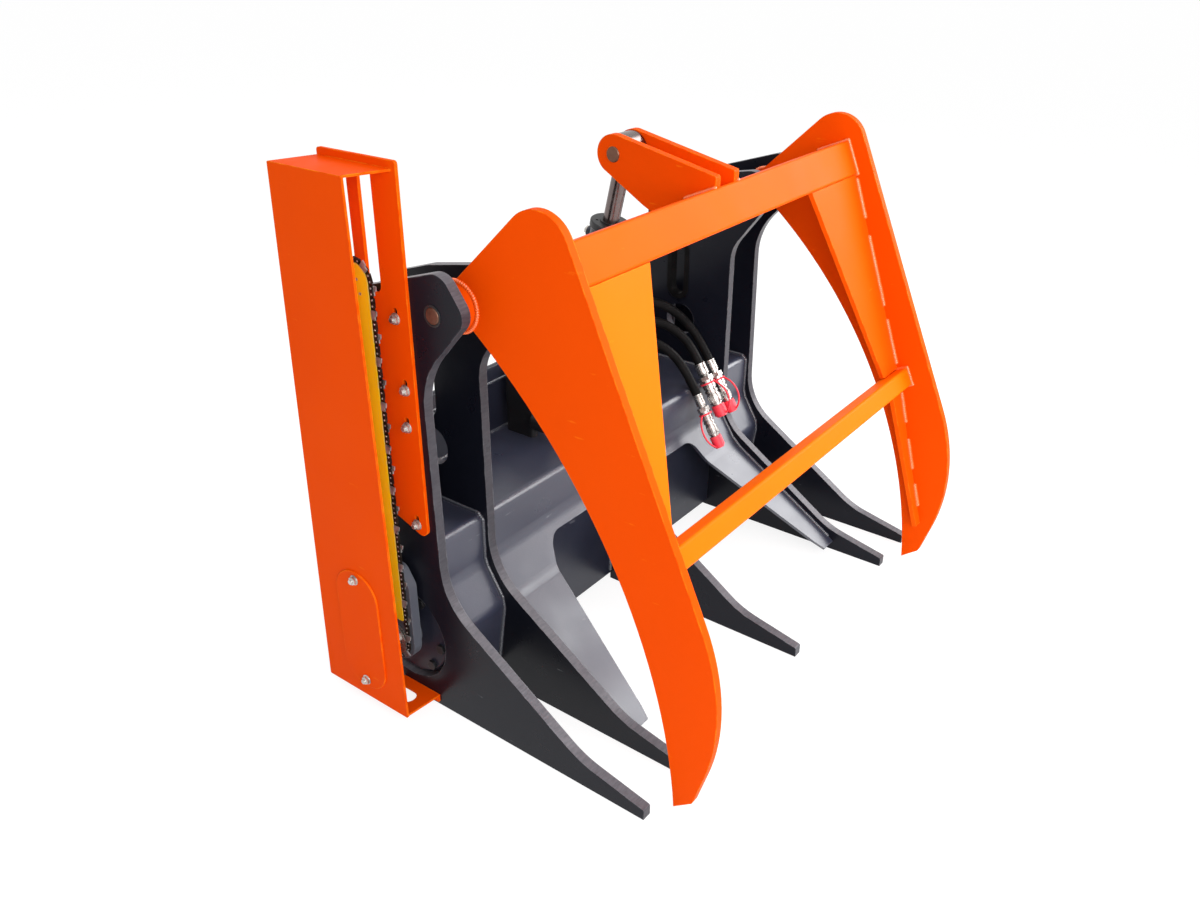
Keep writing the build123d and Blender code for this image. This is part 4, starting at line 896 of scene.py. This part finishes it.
@dataclass
class JawWelds:
    """The jaw's weld beads, from the places of its tubes and ribs.

    Attributes:
        plate_x: inner face of the side plates.
        upper: (y, z), width and tilt of the upper tube, the tilt in degrees.
        lower: the same of the lower tube.
        lug_x: outer face of the lugs.
        rib_foot: (y, z) of the lower ribs' lower ends.
        upper_stitches: start and end of each stitch on the upper ribs, as shares of the rib.
        lower_stitches: the same on the lower ribs.
    """

    plate_x: float = 0.501
    upper: Tube = (0.2524, 0.9266, 0.075, 23.5)
    lower: Tube = (0.0404, 0.4635, 0.042, 26.0)
    lug_x: float = 0.041
    rib_foot: Spot = (-0.056, 0.108)
    upper_stitches: tuple[Spot, ...] = ((0.03, 0.27), (0.34, 0.70), (0.79, 0.99))
    lower_stitches: tuple[Spot, ...] = ((0.14, 0.30), (0.42, 0.64), (0.76, 0.97))

    @staticmethod
    def corner(tube: Tube, back: float, up: float) -> Spot:
        """Give a point of a tube's section.

        Args:
            tube: the tube's place, width and tilt.
            back: half widths behind its middle.
            up: half widths above its middle.

        Returns:
            The point's (y, z).
        """
        y, z, width, tilt = tube
        c, s = cos(radians(tilt)), sin(radians(tilt))
        back, up = back * width / 2, up * width / 2
        return y + back * c + up * s, z - back * s + up * c

    def beads(self) -> list[Bead]:
        """List the beads round the tube ends, along the ribs and under the lugs.

        Returns:
            The beads.
        """
        made = []
        round_tube = ((-1, -1), (-1, 1), (1, 1), (1, -1), (-1, -1))
        for tube in (self.upper, self.lower):
            ring = tuple(self.corner(tube, back, up) for back, up in round_tube)
            made += both_sides(self.plate_x, ring, leg=0.0045, step=0.0038)
        top, bottom = self.corner(self.upper, -0.86, -1.02), self.corner(self.lower, 0.15, 1.12)
        made += self.stitches(bottom, top, self.upper_stitches)
        made += self.stitches(self.rib_foot, self.corner(self.lower, 0.45, -1.1), self.lower_stitches)
        lug = tuple(self.corner(self.upper, back, up) for back, up in ((-0.8, 1), (1, 1), (1, -0.8)))
        return made + both_sides(self.lug_x, lug, leg=0.005, step=0.004)

    def stitches(self, low: Spot, high: Spot, spans: tuple[Spot, ...]) -> list[Bead]:
        """Lay beads with gaps along a rib's front edge on both plates.

        Args:
            low: (y, z) of the rib's lower end.
            high: (y, z) of its upper end.
            spans: start and end of each stitch, as shares of the rib.

        Returns:
            The stitches.
        """
        made = []
        for span in spans:
            spots = tuple((low[0] + f * (high[0] - low[0]), low[1] + f * (high[1] - low[1])) for f in span)
            made += both_sides(self.plate_x, spots, leg=0.0062, step=0.0046)
        return made


@dataclass
class HingeRings:
    """Beads round the jaw's hinge bosses and the dark rings round the pins' ends.

    Attributes:
        pin: (y, z) of the hinge.
        plate_x: outer face of the jaw's plates.
        collar: radius of the boss where it meets the plate.
        tine_x: outer face of the outer tines.
        drops: number of drops in a boss bead.
        drop_radius: a drop's radius.
    """

    pin: Spot = (0.435, 0.842)
    plate_x: float = 0.517
    collar: float = 0.044
    tine_x: float = 0.5753
    drops: int = 60
    drop_radius: float = 0.0046

    def build(self) -> None:
        """Make the boss beads and the pin rings."""
        beads, rings = [], []
        for sign in (-1, 1):
            rings.append(turned(Vector((sign, 0.0, 0.0)), seat(sign * self.tine_x, *self.pin)))
            for index in range(self.drops):
                turn = 2 * pi * index / self.drops
                y = self.pin[0] + self.collar * cos(turn)
                z = self.pin[1] + self.collar * sin(turn)
                beads.append(turned(Vector((0.0, -sin(turn), cos(turn))), seat(sign * self.plate_x, y, z)))
        drop = weld_drop(self.drop_radius, 0.7 * self.drop_radius)
        keep(copies(drop, beads, "boss_beads"), "jaw", Finishes.ORANGE_BEAD)
        keep(copies(self.ring(), rings, "pin_rings"), "frame", Finishes.BLACK)

    @staticmethod
    def ring() -> Piece:
        """Model a flat retaining ring with an open middle.

        Returns:
            The ring.
        """
        ring = drum(radius=0.0188, height=0.0015, sides=40)
        pierce(ring, wall=0.0036)
        pick_faces(ring, looks_up)
        bpy.ops.mesh.bevel(offset=0.0003, segments=1, affect="EDGES")
        return done_editing()


# Vertices nearer the axis than this, in metres, stay where they are.
ON_AXIS = 1e-5


@dataclass
class SlotEdging:
    """Rubber edging round the hose slot of the right inner tine.

    Attributes:
        middle: (y, z) of the slot.
        length: its height.
        width: its width.
        plate_x: middle of the tine plate.
        plate: the plate's thickness.
        wall: thickness of the rubber, with what lies over the faces.
        lip: height of the rubber over a face.
    """

    middle: Spot = (0.612, 0.632)
    length: float = 0.140
    width: float = 0.056
    plate_x: float = 0.4347
    plate: float = 0.020
    wall: float = 0.0112
    lip: float = 0.002

    def build(self) -> None:
        """Make the edging and set it in the slot."""
        place = turned(Vector((1.0, 0.0, 0.0)), seat(self.plate_x, *self.middle))
        keep(copies(self.ring(), [place], "slot_edging"), "frame", Finishes.RUBBER)

    def ring(self) -> Piece:
        """Model a long ring that fills the slot's edge and lies over both faces of the plate.

        Returns:
            The ring, its long way along its own y axis.
        """
        radius = self.width / 2
        ring = drum(radius, self.plate, sides=40, base=-self.plate / 2)
        for sign in (-1, 1):
            bpy.ops.object.mode_set(mode="EDIT")
            bpy.ops.mesh.select_mode(type="VERT")
            bpy.ops.mesh.select_all(action="DESELECT")
            bpy.ops.object.mode_set(mode="OBJECT")
            for vertex in ring.data.vertices:
                vertex.select = sign * vertex.co.y > ON_AXIS
            bpy.ops.object.mode_set(mode="EDIT")
            bpy.ops.transform.translate(value=(0.0, sign * (self.length / 2 - radius), 0.0))
            bpy.ops.object.mode_set(mode="OBJECT")
        for sign in (-1, 1):
            pick_faces(ring, lambda face: sign * face.normal.z > END_FACE)
            grow(rise=0.0, scale=1.1)
            grow(rise=sign * self.lip, scale=0.97)
        large = 0.2 * self.length * self.width
        pierce(ring, self.wall, lambda face: is_end(face) and face.area > large)
        return done_editing(smooth_angle=0.7)


@dataclass
class Chain:
    """Rivet heads of the saw chain and the bar's nose rivets.

    Attributes:
        axis: (y, z) of the drive.
        nose_z: height of the nose's middle.
        pitch_radius: radius of the rivets' line at both ends.
        pairs: number of drive links.
        bar_x: the bar's middle.
        nose_rivets: (y, z) of the bar's rivets from the nose's middle.
    """

    axis: Spot = (0.577, 0.150)
    nose_z: float = 0.882
    pitch_radius: float = 0.038
    pairs: int = 82
    bar_x: float = -0.607
    nose_rivets: tuple[Spot, ...] = (
        (-0.011, -0.020), (0.0, -0.026), (0.011, -0.020), (-0.006, 0.004), (0.006, 0.004)
    )

    def rivet(self, index: int) -> Spot:
        """Give (y, z) of a rivet, counted up the front run.

        Args:
            index: the rivet's number.

        Returns:
            Its place.
        """
        run, radius = self.nose_z - self.axis[1], self.pitch_radius
        back, step = divmod(index, self.pairs)
        way = step * (run + pi * radius) / self.pairs
        turn = max(0.0, way - run) / radius
        side, start = (1, self.nose_z) if back else (-1, self.axis[1])
        return self.axis[0] + side * radius * cos(turn), start - side * (min(way, run) + radius * sin(turn))

    def build(self) -> None:
        """Make the chain's rivet heads and the bar's."""
        links = self.on_both_faces([self.rivet(index) for index in range(2 * self.pairs)], out=0.0024)
        heads = copies(self.head(radius=0.0019, height=0.0007, sides=8), links, "chain_rivets")
        keep(heads, "saw_arm", Finishes.STEEL)
        nose = [(self.axis[0] + y, self.nose_z + z) for y, z in self.nose_rivets]
        head = self.head(radius=0.0028, height=0.0006, sides=14)
        heads = copies(head, self.on_both_faces(nose, out=0.0025), "bar_rivets")
        keep(heads, "saw_arm", Finishes.STEEL)

    def on_both_faces(self, spots: list[Spot], out: float) -> list[Matrix]:
        """Give the places of rivet heads on both faces, so far out from the bar's middle."""
        return [
            turned(Vector((sign, 0.0, 0.0)), seat(self.bar_x + sign * out, y, z))
            for y, z in spots for sign in (-1, 1)
        ]

    @staticmethod
    def head(radius: float, height: float, sides: int) -> Piece:
        """Model a domed rivet head.

        Args:
            radius: its radius.
            height: its height.
            sides: its number of sides.

        Returns:
            The head, standing on the origin.
        """
        drum(radius, height / 2, sides)
        grow(rise=height / 2, scale=0.7)
        return done_editing(smooth_angle=1.2)


@dataclass
class CylinderTrim:
    """Plugs in the cylinder's ports, and the wiper ring on its gland.

    Attributes:
        base: (y, z) of the base pin.
        axis: the cylinder's direction, as (y, z).
        ports: distances of the ports along it.
        port_out: distance of their faces from the axis.
        gland_end: distance of the gland's end face.
    """

    base: Spot = (0.605, 0.440)
    axis: Spot = (-0.232393, 0.972622)
    ports: tuple[float, ...] = (0.080, 0.392)
    port_out: float = 0.048
    gland_end: float = 0.432

    def build(self) -> None:
        """Make the plugs and the wiper ring."""
        along = Vector((0.0, *self.axis))
        rear = Vector((0.0, self.axis[1], -self.axis[0]))
        foot = seat(0.0, *self.base)
        plugs = [turned(rear, foot + along * port + rear * self.port_out) for port in self.ports]
        keep(copies(self.plug(), plugs, "port_plugs"), "barrel", Finishes.STEEL)
        wiper = copies(self.wiper(), [turned(along, foot + along * self.gland_end)], "wiper_ring")
        keep(wiper, "barrel", Finishes.BLACK)

    @staticmethod
    def plug() -> Piece:
        """Model a hexagon plug with a collar and a socket.

        Returns:
            The plug.
        """
        collar_height = 0.002
        drum(radius=0.0105, height=collar_height, sides=28)
        bpy.ops.mesh.bevel(offset=0.0005, segments=2, affect="EDGES")
        collar = done_editing()
        drum(radius=0.0088, height=0.005, sides=6, base=collar_height)
        bpy.ops.mesh.inset(thickness=0.003)
        grow(rise=-0.003, scale=1.0)
        return joined([collar, done_editing(smooth_angle=0.4)], "plug_model")

    @staticmethod
    def wiper() -> Piece:
        """Model the wiper ring, open for the rod.

        Returns:
            The ring.
        """
        ring = drum(radius=0.0225, height=0.002, sides=40)
        pierce(ring, wall=0.0053)
        return done_editing(smooth_angle=0.7)


@dataclass
class Hose:
    """One hydraulic hose from the selector valve over the beam to its coupler.

    Attributes:
        key: the hose's letter.
        route: its control points, in side measures.
        length: its length in metres; not used.
        coupler_scale: size of the coupler on its end.
        diameter: its outer diameter in metres.
    """

    key: str
    route: tuple[Point, ...]
    length: float
    coupler_scale: float
    diameter: float = 0.022

    def build(self) -> Piece:
        """Returns:
            The hose.
        """
        data = bpy.data.curves.new(f"hose_line_{self.key}", "CURVE")
        data.dimensions = "3D"
        line = data.splines.new("NURBS")
        line.points.add(len(self.route) - 1)
        for point, place in zip(line.points, self.route):
            point.co = (*seat(*place), 1.0)
        line.order_u = 3
        line.use_endpoint_u = True
        line.resolution_u = 10
        data.bevel_depth = self.diameter / 2
        data.bevel_resolution = 6
        data.use_fill_caps = True
        piece = bpy.data.objects.new(f"hose_{self.key}_rubber", data)
        bpy.context.scene.collection.objects.link(piece)
        keep(piece, "frame", Finishes.RUBBER)
        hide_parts(f"hose_{self.key}")
        self.trim()
        return piece

    def trim(self) -> Piece:
        """Model the ferrule and the sleeve along the coupler's axis and dress them.

        Returns:
            The piece.
        """
        before, end = (seat(*point) for point in self.route[-2:])
        model = joined([self.ferrule(), self.sleeve()], "coupler_model")
        piece = copies(model, [turned((end - before).normalized(), end)], f"coupler_trim_{self.key}")
        return keep(piece, "frame", Finishes.NICKEL)

    def ferrule(self) -> Piece:
        """Model the crimped ferrule with its pressed rings.

        Returns:
            The ferrule.
        """
        drum(0.0131 * self.coupler_scale, height=0.002, base=-0.004)
        pressed = 0.93
        for _ in range(4):
            grow(rise=0.0012, scale=pressed)
            grow(rise=0.0022, scale=1.0)
            grow(rise=0.0012, scale=1 / pressed)
            grow(rise=0.0018, scale=1.0)
        grow(rise=0.001, scale=0.9)
        return done_editing(smooth_angle=0.4)

    def sleeve(self) -> Piece:
        """Model the sliding sleeve with a knurled band.

        Returns:
            The sleeve.
        """
        height, base = 0.020, 0.079
        sleeve = drum(0.0143 * self.coupler_scale, height, sides=48, base=base)
        pick_faces(sleeve, lambda face: abs(face.normal.z) < 0.1 and face.index % 2 == 0)
        bpy.ops.mesh.inset(thickness=0.0002, use_individual=True)
        bpy.ops.transform.resize(value=(1.05, 1.05, 0.72), center_override=(0.0, 0.0, base + height / 2))
        return done_editing(smooth_angle=0.3)


HOSES = (
    Hose(
        "a",
        (
            (-0.093, 0.676, 0.450), (-0.045, 0.676, 0.450), (0.012, 0.664, 0.466), (0.062, 0.638, 0.494),
            (0.116, 0.604, 0.524), (0.176, 0.577, 0.532), (0.231, 0.550, 0.517), (0.268, 0.518, 0.482),
            (0.285, 0.485, 0.432), (0.285, 0.454, 0.381),
        ),
        length=0.549,
        coupler_scale=0.9,
    ),
    Hose(
        "b",
        (
            (-0.093, 0.676, 0.482), (-0.040, 0.676, 0.482), (0.020, 0.666, 0.501), (0.074, 0.642, 0.529),
            (0.130, 0.619, 0.549), (0.188, 0.598, 0.559), (0.243, 0.582, 0.559), (0.285, 0.560, 0.544),
            (0.316, 0.534, 0.516), (0.333, 0.505, 0.478), (0.333, 0.481, 0.439),
        ),
        length=0.558,
        coupler_scale=1.1,
    ),
    Hose(
        "c",
        (
            (-0.093, 0.676, 0.514), (-0.028, 0.676, 0.514), (0.042, 0.666, 0.538), (0.107, 0.648, 0.577),
            (0.176, 0.622, 0.602), (0.243, 0.598, 0.605), (0.306, 0.576, 0.583), (0.354, 0.548, 0.540),
            (0.378, 0.512, 0.484), (0.378, 0.480, 0.4335),
        ),
        length=0.633,
        coupler_scale=1.0,
    ),
)


def seen_rays(tree: bpy.types.NodeTree) -> Socket:
    """Pick out the rays that show the surround: straight, mirrored and through glass.

    Args:
        tree: the node tree to add to.

    Returns:
        1 for such a ray, else 0.
    """
    path = tree.nodes.new("ShaderNodeLightPath")
    seen = path.outputs["Is Camera Ray"]
    for kind in ("Is Glossy Ray", "Is Transmission Ray"):
        either = tree.nodes.new("ShaderNodeMath")
        either.operation = "MAXIMUM"
        tree.links.new(seen, either.inputs[0])
        tree.links.new(path.outputs[kind], either.inputs[1])
        seen = either.outputs[0]
    return seen


# Each lamp's name, place in the part's frame, side in metres and power in watts.
LAMPS = (
    ("key", (2.6, -1.9, 1.75), 2.8, 165.0),
    ("front", (-0.6, -3.6, 1.8), 2.2, 62.0),
    ("fill", (-2.0, -2.9, 1.5), 2.2, 60.0),
    ("top", (0.1, -0.2, 3.4), 2.6, 26.0),
)


@dataclass
class Studio:
    """Pale floor, soft light, white surround and the camera.

    Attributes:
        camera_at: the camera's place in the part's frame.
        camera_forward: where it looks.
        lens: its lens in millimetres.
        sensor: its sensor's width in millimetres.
        lamp_aim: where the lamps point.
        floor_size: the floor's side in metres.
        floor_gap: how far the floor lies below the tines.
        floor_white: share of plain white in the floor, the rest takes the shadow.
        floor_glow: strength of that white.
        room_light: strength of the light from all round.
    """

    camera_at: Point = (-1.6803, -1.4571, 1.1297)
    camera_forward: Point = (0.7060, 0.5355, -0.4634)
    lens: float = 31.335
    sensor: float = 36.0
    lamp_aim: Point = (0.0, -0.3, 0.15)
    floor_size: float = 40.0
    floor_gap: float = 0.0005
    floor_white: float = 0.72
    floor_glow: float = 1.18
    room_light: float = 0.55

    def build(self) -> None:
        """Set up floor, light, surround and camera."""
        self.floor()
        self.surround()
        for lamp in LAMPS:
            self.lamp(*lamp)
        self.camera()
        bpy.context.scene.view_settings.view_transform = "Standard"

    def floor(self) -> None:
        """Lay a floor that looks white and still takes the object's shadow."""
        deselect()
        bpy.ops.mesh.primitive_plane_add(size=self.floor_size, location=(0.0, 0.0, FLOOR_Z - self.floor_gap))
        floor = bpy.context.active_object
        floor.name = "studio_floor"
        s = Shading("studio_floor")
        s.shader.inputs["Base Color"].default_value = (0.86, 0.86, 0.86, 1.0)
        s.shader.inputs["Roughness"].default_value = 0.9
        white = s.node("ShaderNodeEmission")
        white.inputs["Strength"].default_value = self.floor_glow
        share = s.node("ShaderNodeMath", operation="MULTIPLY")
        share.inputs[1].default_value = self.floor_white
        s.link(seen_rays(s.tree), share.inputs[0])
        mixed = s.node("ShaderNodeMixShader")
        s.link(share.outputs[0], mixed.inputs["Fac"])
        s.link(s.shader.outputs["BSDF"], mixed.inputs[1])
        s.link(white.outputs["Emission"], mixed.inputs[2])
        output = next(node for node in s.tree.nodes if node.type == "OUTPUT_MATERIAL")
        s.link(mixed.outputs["Shader"], output.inputs["Surface"])
        floor.data.materials.append(s.material)

    def surround(self) -> None:
        """Light the room softly and show white to the camera."""
        world = bpy.data.worlds.new("studio_world")
        bpy.context.scene.world = world
        world.use_nodes = True
        tree = world.node_tree
        tree.nodes.clear()
        light = tree.nodes.new("ShaderNodeBackground")
        light.inputs["Strength"].default_value = self.room_light
        white = tree.nodes.new("ShaderNodeBackground")
        white.inputs["Strength"].default_value = 1.0
        for background in (light, white):
            background.inputs["Color"].default_value = (1.0, 1.0, 1.0, 1.0)
        mixed = tree.nodes.new("ShaderNodeMixShader")
        output = tree.nodes.new("ShaderNodeOutputWorld")
        tree.links.new(seen_rays(tree), mixed.inputs["Fac"])
        tree.links.new(light.outputs["Background"], mixed.inputs[1])
        tree.links.new(white.outputs["Background"], mixed.inputs[2])
        tree.links.new(mixed.outputs["Shader"], output.inputs["Surface"])

    def lamp(self, name: str, place: Point, size: float, power: float) -> None:
        """Hang one soft lamp that points at the object.

        Args:
            name: the lamp's name.
            place: where it hangs, in the part's frame.
            size: its side in metres.
            power: its power in watts.
        """
        data = bpy.data.lights.new(name, "AREA")
        data.size = size
        data.energy = power
        lamp = bpy.data.objects.new(name, data)
        bpy.context.scene.collection.objects.link(lamp)
        lamp.location = place
        aim = Vector(self.lamp_aim) - Vector(place)
        lamp.rotation_euler = aim.to_track_quat("-Z", "Y").to_euler()

    def camera(self) -> None:
        """Put the camera at the photograph's viewing angle."""
        data = bpy.data.cameras.new("photo_camera")
        data.lens = self.lens
        data.sensor_width = self.sensor
        data.sensor_fit = "HORIZONTAL"
        camera = bpy.data.objects.new("photo_camera", data)
        bpy.context.scene.collection.objects.link(camera)
        camera.location = self.camera_at
        camera.rotation_euler = Vector(self.camera_forward).to_track_quat("-Z", "Y").to_euler()
        bpy.context.scene.camera = camera


GUARD_NUTS = NutSet(
    "guard_nuts", "guard_bolts", -0.5813, ((0.517, 0.821), (0.509, 0.693), (0.513, 0.621), (0.511, 0.423))
)
COVER_NUTS = NutSet("cover_nuts", "cover_bolts", -0.6630, ((0.610, 0.066), (0.610, 0.304)))


def main() -> None:
    """Dress the grapple and set up the studio."""
    dress_nodes()
    GUARD_NUTS.build()
    COVER_NUTS.build()
    lay(frame_beads(), "frame_beads", "frame", Finishes.GREY_BEAD)
    lay(JawWelds().beads(), "jaw_beads", "jaw", Finishes.ORANGE_BEAD)
    HingeRings().build()
    Chain().build()
    CylinderTrim().build()
    SlotEdging().build()
    for hose in HOSES:
        hose.build()
    Studio().build()


if __name__ == "__main__":
    main()
